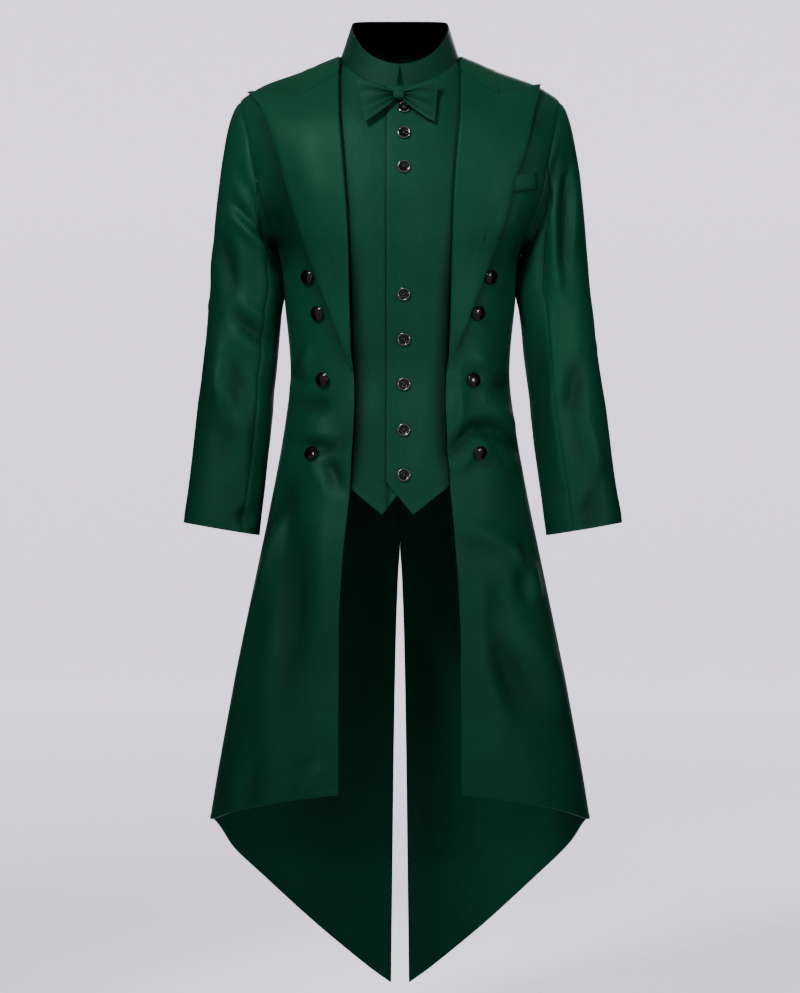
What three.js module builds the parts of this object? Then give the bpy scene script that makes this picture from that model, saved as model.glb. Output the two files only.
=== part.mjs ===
// Tailcoat with a sewn-in waistcoat front, a stand collar and a bow tie, filled out with no wearer.
// Millimetres, +Z up. The front faces -Y and the wearer's left is +X.
// The origin is the middle of the neck opening, level with the points where the shoulder seams start.

import * as THREE from 'three';

// Cloth and seams
const WALL = 2.0;
const SEAM_GAP = 0.4;
const PANEL_PULL = 0.3;
const ARMHOLE_GAP = 0.7;
const LAYER_LIFT = 1.0;
const BUTTON_LIFT = 0.6;
const HALF_PI = Math.PI / 2;
const OUTWARD_FROM_Z = -120;

// The body as rings from the neck down to the tips of the tails: half the width at the side
// seams, and how far the front and the back stand off the plane of the side seams.
const BODY_SECTIONS = [
  { z: 60, halfWidth: 244, front: 58, back: 78 },
  { z: 0, halfWidth: 243, front: 66, back: 90 },
  { z: -48, halfWidth: 241, front: 81, back: 102 },
  { z: -115, halfWidth: 234, front: 112, back: 117 },
  { z: -190, halfWidth: 218, front: 127, back: 127 },
  { z: -245, halfWidth: 194, front: 128, back: 125 },
  { z: -275, halfWidth: 170, front: 127, back: 121 },
  { z: -353, halfWidth: 160.4, front: 118, back: 108 },
  { z: -437, halfWidth: 153.4, front: 112, back: 102 },
  { z: -500, halfWidth: 159, front: 117, back: 110 },
  { z: -605, halfWidth: 177, front: 131, back: 132 },
  { z: -710, halfWidth: 198.8, front: 141, back: 148 },
  { z: -878, halfWidth: 233, front: 149, back: 160 },
  { z: -1064, halfWidth: 265.6, front: 154, back: 166 },
  { z: -1320, halfWidth: 300, front: 158, back: 172 },
];
const RING_POWER = 2.3;

// The top of the shoulder, from the middle of the neck out to the sleeve head
const SHOULDER_LINE = [
  { x: 0, z: 36 },
  { x: 45, z: 25.5 },
  { x: 62, z: 17.5 },
  { x: 75, z: 8.5 },
  { x: 83, z: 1.5 },
  { x: 92, z: -3 },
  { x: 112, z: -10.5 },
  { x: 150, z: -24 },
  { x: 189, z: -38 },
  { x: 213, z: -52 },
  { x: 224, z: -60 },
];
const FRONT_ROUNDING = 100;
const BACK_ROUNDING = 60;

// Neck opening
const NECK_HALF_WIDTH = 83;
const NECK_SIDE_Z = 1.5;
const NECK_FRONT_DROP = 49;
const NECK_FRONT_POWER = 1.5;
const NAPE_Z = 14;

// Front edge of the coat: the roll line above the button stand, the skirt's edge below it
const FRONT_EDGE = [
  { z: 10, x: 85 },
  { z: -84, x: 84 },
  { z: -160, x: 78 },
  { z: -237, x: 73 },
  { z: -387, x: 69 },
  { z: -434, x: 65 },
  { z: -490, x: 63 },
  { z: -602, x: 69 },
  { z: -700, x: 77.5 },
  { z: -810, x: 83 },
  { z: -1060, x: 84.5 },
];

// Armhole, from the underarm up to the sleeve head, on the front and on the back
const ARMHOLE = [
  { frontX: 170, frontZ: -275, backX: 170, backZ: -275 },
  { frontX: 185, frontZ: -243, backX: 183, backZ: -240 },
  { frontX: 200, frontZ: -180, backX: 197, backZ: -176 },
  { frontX: 214, frontZ: -112, backX: 212, backZ: -112 },
  { frontX: 224, frontZ: -60, backX: 224, backZ: -60 },
];
const UNDERARM_Z = ARMHOLE[0].frontZ;

// Hems, by distance from the middle
const FRONT_HEM = [
  { x: 84.5, z: -1009 },
  { x: 90, z: -1017 },
  { x: 102, z: -1021 },
  { x: 151, z: -1029 },
  { x: 221, z: -1045 },
  { x: 265.6, z: -1064 },
];
const TAIL_HEM = [
  { x: 0, z: -1326 },
  { x: 39, z: -1299 },
  { x: 94, z: -1254 },
  { x: 144, z: -1210 },
  { x: 189, z: -1165 },
  { x: 232, z: -1118 },
  { x: 265.6, z: -1064 },
];

// Half the width of the open vent between the tails
const VENT = [
  { z: 20, x: 0.5 },
  { z: -150, x: 0.25 },
  { z: -680, x: 0.25 },
  { z: -694, x: 0.25 },
  { z: -720, x: 2.2 },
  { z: -810, x: 5.6 },
  { z: -975, x: 8.8 },
  { z: -1145, x: 10.8 },
  { z: -1330, x: 13 },
];

// Largest soft folds of the body: ends by degrees round the ring from the middle of the
// front or back, width and height in millimetres, a negative height being a trough
const BODY_FOLDS = [
  { side: 1, facing: -1, angleA: 36, zA: -672, angleB: 62, zB: -722, width: 26, height: 5 },
  { side: 1, facing: -1, angleA: 60, zA: -800, angleB: 70, zB: -1000, width: 34, height: 6 },
  { side: 1, facing: -1, angleA: 40, zA: -540, angleB: 62, zB: -590, width: 20, height: -4 },
  { side: -1, facing: -1, angleA: 66, zA: -672, angleB: 74, zB: -860, width: 28, height: 5 },
  { side: -1, facing: -1, angleA: 34, zA: -476, angleB: 66, zB: -500, width: 18, height: -4 },
  { side: -1, facing: -1, angleA: 48, zA: -830, angleB: 44, zB: -1010, width: 32, height: 5 },
  { side: 1, facing: 1, angleA: 52, zA: -760, angleB: 58, zB: -1090, width: 38, height: 7 },
  { side: -1, facing: 1, angleA: 48, zA: -740, angleB: 55, zB: -1100, width: 36, height: 7 },
  { side: 1, facing: 1, angleA: 24, zA: -900, angleB: 27, zB: -1200, width: 32, height: -6 },
  { side: -1, facing: 1, angleA: 26, zA: -880, angleB: 24, zB: -1220, width: 34, height: -6 },
];

// Sleeve rings below the armhole: outer and inner side, middle and half depth
const SLEEVE_SECTIONS = [
  { z: -290, outer: 264, inner: 171.5, middleY: 4, halfDepth: 64 },
  { z: -353, outer: 269, inner: 166, middleY: 0, halfDepth: 60 },
  { z: -416, outer: 275, inner: 171.5, middleY: -4, halfDepth: 56 },
  { z: -500, outer: 286, inner: 180, middleY: -10, halfDepth: 53 },
  { z: -584, outer: 296, inner: 190, middleY: -16, halfDepth: 49 },
  { z: -668, outer: 307, inner: 200.5, middleY: -23, halfDepth: 46 },
];
const SLEEVE_TOP_Z = SLEEVE_SECTIONS[0].z;
const CUFF_Z = -659;
const CUFF_SLANT = 9;
const SLEEVE_SWING = 4;
const SLEEVE_RADIUS = 55;
const SLEEVE_MIDDLE_X = 222;
const SLEEVE_FOLDS = [
  { side: -1, angleA: 60, zA: -205, angleB: 128, zB: -262, width: 16, height: -5 },
  { side: -1, angleA: 75, zA: -165, angleB: 138, zB: -225, width: 14, height: -4 },
  { side: -1, angleA: 95, zA: -430, angleB: 170, zB: -470, width: 18, height: -4 },
  { side: 1, angleA: 58, zA: -150, angleB: 66, zB: -330, width: 16, height: -4 },
  { side: 1, angleA: 100, zA: -440, angleB: 168, zB: -478, width: 18, height: -4 },
  { side: 1, angleA: 250, zA: -420, angleB: 305, zB: -470, width: 20, height: -4 },
  { side: -1, angleA: 245, zA: -410, angleB: 300, zB: -465, width: 20, height: -4 },
];

// Lapel, collar leaf and the gorge seam between them
const LAPEL_FOOT_Z = -440;
const GORGE_INNER = { x: 84.5, z: -26 };
const GORGE_OUTER = { x: 136, z: -60 };
const GORGE_GAP = 1;
const ROLL_OVERHANG = 0.8;
const NOTCH_AT = 0.5;
const LEAF_SHOULDER_AT = 0.7;
const LAPEL_EDGE = [
  { z: -85, x: 197 },
  { z: -150, x: 173 },
  { z: -290, x: 122 },
  { z: -400, x: 81 },
  { z: -440, x: 68 },
];
const PEAK_X = { left: 192, right: 208 };
const PEAK_BELOW_SHOULDER = 3;
const LAPEL_EDGE_LIFT = 2.2;
const PEAK_LIFT = 5;
const LEAF_OUTER_X = 136;
const LEAF_BACK_Y = 91;
const NECK_BACK_Y = 66;
const LEAF_LIFT = 1.4;
const LEAF_EDGE_LIFT = 1.2;
const LEAF_NECK_CLEARANCE = 2.5;

// Stand collar: rim of the top edge and the keyhole at the front
const COLLAR_TOP_HALF_WIDTH = 68;
const COLLAR_TOP_FRONT_Y = -74;
const COLLAR_TOP_BACK_Y = 63;
const COLLAR_TOP_SIDE_Z = 40;
const COLLAR_TOP_FRONT_DROP = 57;
const COLLAR_TOP_BACK_RISE = 19;
const KEYHOLE_HALF_WIDTH = 5.5;
const COLLAR_FOOT_GAP = 0.8;

// Waistcoat front: how far it lies inside the coat, its overlap and its pointed hem
const VEST_OPEN_INSET = 1.2;
const VEST_COVERED_INSET = 5.2;
const VEST_WAIST_INSET = 6;
const VEST_OVERLAP_INSET = 3.4;
const OVER_HEM = [
  { x: -18.5, z: -594 },
  { x: -4, z: -612 },
  { x: 17.8, z: -639 },
  { x: 65.7, z: -601 },
  { x: 112, z: -566 },
];
const UNDER_HEM = [
  { x: -112, z: -572 },
  { x: -72.5, z: -601 },
  { x: -24.6, z: -639 },
  { x: -4, z: -612 },
  { x: 14, z: -590 },
];

// Breast pocket welt, on the wearer's left
const WELT_CORNERS = [
  { x: 152, z: -197 },
  { x: 188, z: -192 },
  { x: 186, z: -168 },
  { x: 154, z: -173.5 },
];
const WELT_WALL = 1.2;
const WELT_LIFT = 0.7;

// Bow tie
const BOW_Z = -62;
const BOW_TIP_X = 57;
const BOW_ROOT_X = 5.6;
const BOW_LEAN = 2.4;
const BOW_DROOP = 9;
const BOW_HALF_HEIGHT = [
  { x: 5, z: 6 },
  { x: 20, z: 12.5 },
  { x: 40, z: 23 },
  { x: 57, z: 29.5 },
];
const BOW_HALF_THICK = 2.6;
const BOW_STAND_OFF = 8;
const BOW_PLEATS = 3;
const BOW_PLEAT_DEPTH = 1.3;
const KNOT_HALF_WIDTH = 5.4;
const KNOT_HALF_HEIGHT = 7.5;
const KNOT_HALF_DEPTH = 7;
const KNOT_SEAT = 2.75;
const KNOT_ROUNDNESS = 0.6;

// Buttons
const COAT_BUTTON_RADIUS = 10;
const COAT_BUTTONS = [
  { side: 1, x: 123, z: -312 },
  { side: 1, x: 106, z: -362 },
  { side: 1, x: 101, z: -454 },
  { side: 1, x: 104.5, z: -554 },
  { side: -1, x: 126, z: -312 },
  { side: -1, x: 112.5, z: -362 },
  { side: -1, x: 105.5, z: -453 },
  { side: -1, x: 120, z: -556 },
];
const FRONT_BUTTON_RADIUS = 9;
const FRONT_BUTTON_X = 5.5;
const FRONT_BUTTON_HEIGHTS = [-80, -116, -163, -337, -398.5, -460, -523, -584.5];

// Finishes
const CLOTH = { color: 0x12392b, roughness: 0.55, metalness: 0 };
const BUTTON = { color: 0x14100f, roughness: 0.25, metalness: 0 };

const group = new THREE.Group();

function lerp(a, b, t) {
  return a + (b - a) * t;
}

function clamp01(t) {
  return Math.min(1, Math.max(0, t));
}

function smoothStep(a, b, value) {
  const t = clamp01((value - a) / (b - a));
  return t * t * (3 - 2 * t);
}

function hermite(p0, m0, p1, m1, t) {
  const t2 = t * t;
  const t3 = t2 * t;
  return (2 * t3 - 3 * t2 + 1) * p0 + (t3 - 2 * t2 + t) * m0 + (3 * t2 - 2 * t3) * p1 + (t3 - t2) * m1;
}

// Reads a column of a table at a value of its key column, on a smooth curve through its rows
function readTable(rows, key, column, at) {
  const last = rows.length - 1;
  const direction = Math.sign(rows[last][key] - rows[0][key]);
  if ((at - rows[0][key]) * direction <= 0) {
    return rows[0][column];
  }
  if ((at - rows[last][key]) * direction >= 0) {
    return rows[last][column];
  }
  let i = 0;
  while ((at - rows[i + 1][key]) * direction > 0) {
    i += 1;
  }
  const slopeAt = (k) => {
    const before = rows[Math.max(k - 1, 0)];
    const after = rows[Math.min(k + 1, last)];
    return (after[column] - before[column]) / (after[key] - before[key]);
  };
  const span = rows[i + 1][key] - rows[i][key];
  const t = (at - rows[i][key]) / span;
  return hermite(rows[i][column], span * slopeAt(i), rows[i + 1][column], span * slopeAt(i + 1), t);
}

// Reads a table along straight lines, for edges with corners
function readCorners(rows, key, column, at) {
  let i = 0;
  while (i < rows.length - 2 && at > rows[i + 1][key]) {
    i += 1;
  }
  const t = clamp01((at - rows[i][key]) / (rows[i + 1][key] - rows[i][key]));
  return lerp(rows[i][column], rows[i + 1][column], t);
}

// Height of soft folds at a place given by an angle in degrees and a height
function foldHeight(folds, side, facing, angle, z, radius) {
  const millimetresPerDegree = radius * Math.PI / 180;
  let height = 0;
  for (const fold of folds) {
    if (fold.side !== side || (fold.facing !== undefined && fold.facing !== facing)) {
      continue;
    }
    const alongX = (fold.angleB - fold.angleA) * millimetresPerDegree;
    const alongZ = fold.zB - fold.zA;
    const fromX = (angle - fold.angleA) * millimetresPerDegree;
    const fromZ = z - fold.zA;
    const t = clamp01((fromX * alongX + fromZ * alongZ) / (alongX * alongX + alongZ * alongZ));
    const away = Math.hypot(fromX - t * alongX, fromZ - t * alongZ) / fold.width;
    const taper = 0.35 + 0.65 * Math.sin(Math.PI * clamp01(0.1 + 0.8 * t));
    height += fold.height * taper * Math.exp(-away * away);
  }
  return height;
}

function shoulderTop(x) {
  return readTable(SHOULDER_LINE, 'x', 'z', x);
}

function ringAngle(x, z) {
  const ratio = clamp01(x / readTable(BODY_SECTIONS, 'z', 'halfWidth', z));
  return Math.asin(ratio ** (RING_POWER / 2));
}

// A point of the body's outside: angle round the ring from the middle of the front or the
// back, height, and a distance that the surface is moved in
function bodyPoint(side, facing, angle, z, inset = 0) {
  const halfWidth = readTable(BODY_SECTIONS, 'z', 'halfWidth', z);
  const depth = readTable(BODY_SECTIONS, 'z', facing < 0 ? 'front' : 'back', z);
  const x = halfWidth * Math.max(0, Math.sin(angle)) ** (2 / RING_POWER);
  const rounding = facing < 0 ? FRONT_ROUNDING : BACK_ROUNDING;
  const below = clamp01(1 - (shoulderTop(x) - z) / rounding);
  const fade = Math.sqrt(Math.max(0, 1 - below * below));
  const y = depth * Math.max(0, Math.cos(angle)) ** (2 / RING_POWER) * fade;
  const fold = foldHeight(BODY_FOLDS, side, facing, angle * 180 / Math.PI, z, (halfWidth + depth) / 2);
  const outX = Math.sin(angle);
  const outY = Math.cos(angle) * fade;
  const move = fold - inset;
  const drop = inset * (1 - fade);
  return new THREE.Vector3(side * (x + outX * move), facing * (y + outY * move), z - drop);
}

function bodyPointAtX(side, facing, x, z, inset = 0) {
  return bodyPoint(side, facing, ringAngle(x, z), z, inset);
}

function armholePlace(facing, t) {
  const column = facing < 0 ? 'front' : 'back';
  const last = ARMHOLE.length - 1;
  const rows = ARMHOLE.map((row, i) => ({ t: i / last, x: row[`${column}X`], z: row[`${column}Z`] }));
  return { x: readTable(rows, 't', 'x', t), z: readTable(rows, 't', 'z', t) };
}

// Distance from the middle to the inner edge of a panel, at a height
function panelEdge(facing, z) {
  return readTable(facing < 0 ? FRONT_EDGE : VENT, 'z', 'x', z);
}

// Height of the hem along a column of a panel, where column and hem line meet
function hemHeight(facing, u) {
  const hem = facing < 0 ? FRONT_HEM : TAIL_HEM;
  let low = -1400;
  let high = -950;
  for (let i = 0; i < 30; i += 1) {
    const z = (low + high) / 2;
    const angle = lerp(ringAngle(panelEdge(facing, z), z), HALF_PI, u);
    const x = readTable(BODY_SECTIONS, 'z', 'halfWidth', z) * Math.sin(angle) ** (2 / RING_POWER);
    if (readTable(hem, 'x', 'z', x) > z) {
      low = z;
    } else {
      high = z;
    }
  }
  return low;
}

// Top edge of a panel: the shoulder seam, and on the back also the neck seam
function panelTop(facing, x) {
  if (facing > 0 && x < NECK_HALF_WIDTH) {
    const across = Math.sqrt(1 - (x / NECK_HALF_WIDTH) ** 2);
    return lerp(NECK_SIDE_Z, NAPE_Z, across);
  }
  return shoulderTop(x);
}

// A front or back panel: u runs from its inner edge to the side, v from the hem (0) by the
// underarm (1) to the shoulder (2)
function panelPoint(side, facing, u, v) {
  const shift = facing * PANEL_PULL;
  if (v <= 1) {
    const z = lerp(hemHeight(facing, u), UNDERARM_Z, v);
    const angle = lerp(ringAngle(panelEdge(facing, z), z), HALF_PI, u);
    const point = bodyPoint(side, facing, angle, z);
    point.y += shift;
    return point;
  }
  const t = Math.sin((v - 1) * HALF_PI);
  const topEdgeX = panelEdge(facing, 0);
  const edgeZ = lerp(UNDERARM_Z, panelTop(facing, topEdgeX), t);
  const edgeX = panelEdge(facing, edgeZ);
  const arm = armholePlace(facing, t);
  const angle = lerp(ringAngle(edgeX, edgeZ), ringAngle(arm.x, arm.z), u);
  const plainZ = lerp(edgeZ, arm.z, u);
  const x = readTable(BODY_SECTIONS, 'z', 'halfWidth', plainZ) * Math.sin(angle) ** (2 / RING_POWER);
  const topPlain = lerp(panelTop(facing, topEdgeX), ARMHOLE[ARMHOLE.length - 1].frontZ, u);
  const z = plainZ + (panelTop(facing, x) - topPlain) * t * t;
  const point = bodyPointAtX(side, facing, x, Math.min(z, shoulderTop(x)));
  point.y += shift;
  return point;
}

// Sleeve: angle 0 is the outer side, 90 degrees the front, 180 the underarm; v runs from
// the armhole (0) by the upper arm (1) to the cuff (2)
function sleevePoint(side, angle, v) {
  const along = Math.cos(angle);
  const across = Math.sin(angle);
  const facing = angle <= Math.PI ? -1 : 1;
  const meanZ = lerp(SLEEVE_TOP_Z, CUFF_Z, Math.max(0, v - 1));
  const outer = readTable(SLEEVE_SECTIONS, 'z', 'outer', meanZ);
  const inner = readTable(SLEEVE_SECTIONS, 'z', 'inner', meanZ);
  const halfDepth = readTable(SLEEVE_SECTIONS, 'z', 'halfDepth', meanZ);
  const middleY = readTable(SLEEVE_SECTIONS, 'z', 'middleY', meanZ);
  const swing = side * SLEEVE_SWING * Math.max(0, v - 1);
  const ring = new THREE.Vector3(
    (outer + inner) / 2 + swing + (outer - inner) / 2 * along,
    middleY - halfDepth * across,
    meanZ + CUFF_SLANT * along * Math.max(0, v - 1),
  );
  let point = ring;
  if (v < 1) {
    const t = facing < 0 ? 1 - angle / Math.PI : angle / Math.PI - 1;
    const place = armholePlace(facing, Math.sin(clamp01(t) * HALF_PI));
    const start = bodyPointAtX(1, facing, place.x, Math.min(place.z, shoulderTop(place.x)));
    start.x += ARMHOLE_GAP;
    const crown = (1 + along) / 2;
    const reach = start.z - ring.z;
    const leave = new THREE.Vector3(lerp(14, 80, crown), -14 * across, lerp(-0.5 * reach, -20, crown));
    const arrive = new THREE.Vector3(lerp(-4, 18, crown), 0, -0.9 * reach);
    point = new THREE.Vector3(
      hermite(start.x, leave.x, ring.x, arrive.x, v),
      hermite(start.y, leave.y, ring.y, arrive.y, v),
      hermite(start.z, leave.z, ring.z, arrive.z, v),
    );
  }
  const fold = foldHeight(SLEEVE_FOLDS, side, facing, angle * 180 / Math.PI, point.z, SLEEVE_RADIUS);
  const fade = smoothStep(0, 0.35, v) * smoothStep(2, 1.9, v);
  point.x += along * fold * fade;
  point.y -= across * fold * fade;
  point.x *= side;
  return point;
}

// Neck seam: angle 0 is the middle of the front, 180 degrees the nape
function neckPoint(angle) {
  const x = NECK_HALF_WIDTH * Math.abs(Math.sin(angle));
  const forward = Math.cos(angle);
  const side = Math.sin(angle) < 0 ? -1 : 1;
  if (forward > 0) {
    const z = NECK_SIDE_Z - NECK_FRONT_DROP * forward ** NECK_FRONT_POWER;
    const inset = vestInset(x, z) * smoothStep(0, 0.35, forward);
    return bodyPointAtX(side, -1, x, Math.min(z, shoulderTop(x)), inset);
  }
  return bodyPointAtX(side, 1, x, lerp(NECK_SIDE_Z, NAPE_Z, -forward));
}

function collarPoint(u, w) {
  const gap = lerp(KEYHOLE_HALF_WIDTH, SEAM_GAP / 2, w);
  const start = Math.asin(gap / NECK_HALF_WIDTH);
  const angle = lerp(start, 2 * Math.PI - start, u);
  const forward = Math.cos(angle);
  const foot = neckPoint(angle);
  foot.z += COLLAR_FOOT_GAP;
  const rise = forward > 0
    ? -COLLAR_TOP_FRONT_DROP * forward ** 1.3
    : COLLAR_TOP_BACK_RISE * (-forward) ** 0.4;
  const depth = forward > 0 ? COLLAR_TOP_FRONT_Y : -COLLAR_TOP_BACK_Y;
  const sideways = COLLAR_TOP_HALF_WIDTH * Math.sin(angle);
  const top = new THREE.Vector3(sideways, depth * forward, COLLAR_TOP_SIDE_Z + rise);
  return foot.lerp(top, w);
}

// A point of the back near the neck and shoulder, by its place seen from above
function backPointInPlan(side, x, y) {
  let z = shoulderTop(x) - 5;
  for (let i = 0; i < 4; i += 1) {
    const depth = readTable(BODY_SECTIONS, 'z', 'back', z) * Math.cos(ringAngle(x, z)) ** (2 / RING_POWER);
    const fade = Math.min(0.985, y / depth);
    z = shoulderTop(x) - BACK_ROUNDING * (1 - Math.sqrt(1 - fade * fade));
  }
  return bodyPointAtX(side, 1, x, z);
}

// Coat collar leaf: q runs from one gorge (-1) by the nape (0) to the other gorge (1), w
// from the neck seam out to the leaf's edge
function leafPoint(q, w) {
  const side = q < 0 ? -1 : 1;
  const part = Math.abs(q);
  if (part <= LEAF_SHOULDER_AT) {
    const angle = HALF_PI * part / LEAF_SHOULDER_AT;
    const clear = LEAF_NECK_CLEARANCE;
    const x = lerp(NECK_HALF_WIDTH + clear, LEAF_OUTER_X, w) * Math.sin(angle);
    const y = lerp(NECK_BACK_Y + clear, LEAF_BACK_Y, w) * Math.cos(angle);
    return backPointInPlan(side, x, y);
  }
  const down = (part - LEAF_SHOULDER_AT) / (1 - LEAF_SHOULDER_AT);
  const eased = down ** 1.6;
  const innerZ = lerp(shoulderTop(GORGE_INNER.x), GORGE_INNER.z, eased);
  const outerZ = lerp(shoulderTop(LEAF_OUTER_X), GORGE_OUTER.z, eased);
  const x = lerp(NECK_HALF_WIDTH + LEAF_NECK_CLEARANCE, LEAF_OUTER_X, w);
  const z = lerp(innerZ, outerZ, w);
  return bodyPointAtX(side, -1, x, Math.min(z, shoulderTop(x)));
}

// Lapel: u runs from the roll line to the outer edge, v from the foot to the gorge and peak
function lapelPoint(side, u, v) {
  const peakX = side > 0 ? PEAK_X.left : PEAK_X.right;
  const peak = { x: peakX, z: shoulderTop(peakX) - PEAK_BELOW_SHOULDER };
  const notch = { x: GORGE_OUTER.x, z: GORGE_OUTER.z - GORGE_GAP };
  const innerTop = { x: GORGE_INNER.x, z: GORGE_INNER.z - GORGE_GAP };
  const rollZ = lerp(LAPEL_FOOT_Z, innerTop.z, v);
  const rollX = panelEdge(-1, rollZ) - ROLL_OVERHANG;
  const edgeZ = lerp(LAPEL_FOOT_Z, peak.z, v);
  const aboveEdge = smoothStep(-85, peak.z, edgeZ);
  const edgeX = lerp(readTable(LAPEL_EDGE, 'z', 'x', edgeZ), peak.x, aboveEdge);
  const topX = u < NOTCH_AT ? lerp(innerTop.x, notch.x, u / NOTCH_AT)
    : lerp(notch.x, peak.x, (u - NOTCH_AT) / (1 - NOTCH_AT));
  const topZ = u < NOTCH_AT ? lerp(innerTop.z, notch.z, u / NOTCH_AT)
    : lerp(notch.z, peak.z, (u - NOTCH_AT) / (1 - NOTCH_AT));
  const bend = v ** 5;
  const x = lerp(rollX, edgeX, u) + (topX - lerp(innerTop.x, peak.x, u)) * bend;
  const z = lerp(rollZ, edgeZ, u) + (topZ - lerp(innerTop.z, peak.z, u)) * bend;
  return bodyPointAtX(side, -1, x, Math.min(z, shoulderTop(x)));
}

function lapelLift(u, v) {
  const tip = smoothStep(0.8, 1, v) * smoothStep(0.55, 1, u);
  return LAYER_LIFT + LAPEL_EDGE_LIFT * u * smoothStep(0, 0.12, v) + PEAK_LIFT * tip;
}

function vestInset(x, z) {
  const covered = smoothStep(56, 84, Math.abs(x));
  const waist = Math.exp(-(((z + 440) / 120) ** 2));
  return lerp(VEST_OPEN_INSET, VEST_COVERED_INSET, covered) + VEST_WAIST_INSET * waist * covered;
}

// Waistcoat front: u runs across from the wearer's right to left, v from the hem to the top
function vestPoint(hem, extraInset, u, v) {
  const x = lerp(hem[0].x, hem[hem.length - 1].x, u);
  const away = Math.abs(x);
  const side = x < 0 ? -1 : 1;
  const across = Math.sqrt(Math.max(0, 1 - (away / NECK_HALF_WIDTH) ** 2));
  const neckZ = NECK_SIDE_Z - NECK_FRONT_DROP * across ** NECK_FRONT_POWER;
  const top = away < NECK_HALF_WIDTH ? Math.min(neckZ, shoulderTop(away)) : shoulderTop(away);
  const rise = Math.sin(v * HALF_PI);
  const z = lerp(readCorners(hem, 'x', 'z', x), top - 0.5, lerp(v, rise, 0.7));
  return bodyPointAtX(side, -1, away, z, vestInset(x, z) + extraInset);
}

function spread(from, to, count) {
  return Array.from({ length: count + 1 }, (_, i) => lerp(from, to, i / count));
}

// A closed wall of even thickness over a surface given by a function of two parameters.
// The wall lies outside the surface by its lift; outward gives a rough outward direction, and
// an endless surface goes on past the ends of u.
function shellGeometry(surface, us, vs, lift, wall, outward, endless) {
  const step = 1e-3;
  const margin = endless ? step : 0;
  const topTrim = 0.015 * (vs[vs.length - 1] - vs[0]);
  const outer = [];
  const inner = [];
  for (const v of vs) {
    for (const u of us) {
      const point = surface(u, v);
      const level = Math.min(v, vs[vs.length - 1] - topTrim);
      const uA = surface(Math.max(us[0] - margin, u - step), level);
      const uB = surface(Math.min(us[us.length - 1] + margin, u + step), level);
      const vA = surface(u, Math.max(vs[0], level - step));
      const vB = surface(u, Math.min(vs[vs.length - 1], level + step));
      const normal = uB.sub(uA).cross(vB.sub(vA)).normalize();
      if (normal.dot(outward(point)) < 0) {
        normal.negate();
      }
      inner.push(point.clone().addScaledVector(normal, lift(u, v)));
      outer.push(point.clone().addScaledVector(normal, lift(u, v) + wall));
    }
  }
  return closedGeometry(outer, inner, us.length, vs.length);
}

// Joins an outer and an inner grid of points round their edges into one closed body
function closedGeometry(outer, inner, columns, rows) {
  const points = [...outer, ...inner];
  const offset = outer.length;
  const index = [];
  const quad = (a, b, c, d) => index.push(a, b, c, a, c, d);
  for (let j = 0; j < rows - 1; j += 1) {
    for (let i = 0; i < columns - 1; i += 1) {
      const a = j * columns + i;
      quad(a, a + 1, a + 1 + columns, a + columns);
      quad(offset + a + columns, offset + a + 1 + columns, offset + a + 1, offset + a);
    }
  }
  // The rims: each strip is split from the outer point of one row to the inner point of the
  // next, so that two pieces that meet at a seam are split alike.
  const rim = (a, b) => quad(a, offset + a, offset + b, b);
  const rimBack = (a, b) => quad(a, b, offset + b, offset + a);
  for (let i = 0; i < columns - 1; i += 1) {
    rim(i, i + 1);
    rimBack((rows - 1) * columns + i, (rows - 1) * columns + i + 1);
  }
  for (let j = 0; j < rows - 1; j += 1) {
    rimBack(j * columns, (j + 1) * columns);
    rim(j * columns + columns - 1, (j + 1) * columns + columns - 1);
  }
  if (signedVolume(points, index) < 0) {
    index.reverse();
  }
  const geometry = new THREE.BufferGeometry();
  const numbers = points.flatMap((p) => p.toArray());
  geometry.setAttribute('position', new THREE.Float32BufferAttribute(numbers, 3));
  geometry.setIndex(index);
  geometry.computeVertexNormals();
  return geometry;
}

function signedVolume(points, index) {
  let sum = 0;
  for (let i = 0; i < index.length; i += 3) {
    const cross = points[index[i + 1]].clone().cross(points[index[i + 2]]);
    sum += points[index[i]].dot(cross);
  }
  return sum;
}

function addPiece(name, geometry, finish) {
  const mesh = new THREE.Mesh(geometry, new THREE.MeshStandardMaterial(finish));
  mesh.name = name;
  group.add(mesh);
  return mesh;
}

function addShell(name, surface, us, vs, lift, wall, outward, endless = false) {
  return addPiece(name, shellGeometry(surface, us, vs, lift, wall, outward, endless), CLOTH);
}

function outOfBody(point) {
  return new THREE.Vector3(point.x, point.y, Math.max(0, point.z - OUTWARD_FROM_Z));
}

const SIDES = [{ side: 1, word: 'left' }, { side: -1, word: 'right' }];
const UPPER_ROWS = 10;
const FINE_ROWS_FROM = 0.55;
const FRONT_COLUMNS = 9;
const BACK_COLUMNS = 12;

// Fronts and backs
for (const { side, word } of SIDES) {
  const rows = [
    ...spread(0, FINE_ROWS_FROM, 7),
    ...spread(FINE_ROWS_FROM, 1, 11).slice(1),
    ...spread(1, 2, UPPER_ROWS).slice(1),
  ];
  for (const facing of [-1, 1]) {
    const name = `${facing < 0 ? 'front' : 'back'}_${word}`;
    const surface = (u, v) => panelPoint(side, facing, u, v);
    const columns = facing < 0 ? FRONT_COLUMNS : BACK_COLUMNS;
    addShell(name, surface, spread(0, 1, columns), rows, () => -WALL, WALL, outOfBody);
  }
}

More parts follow.
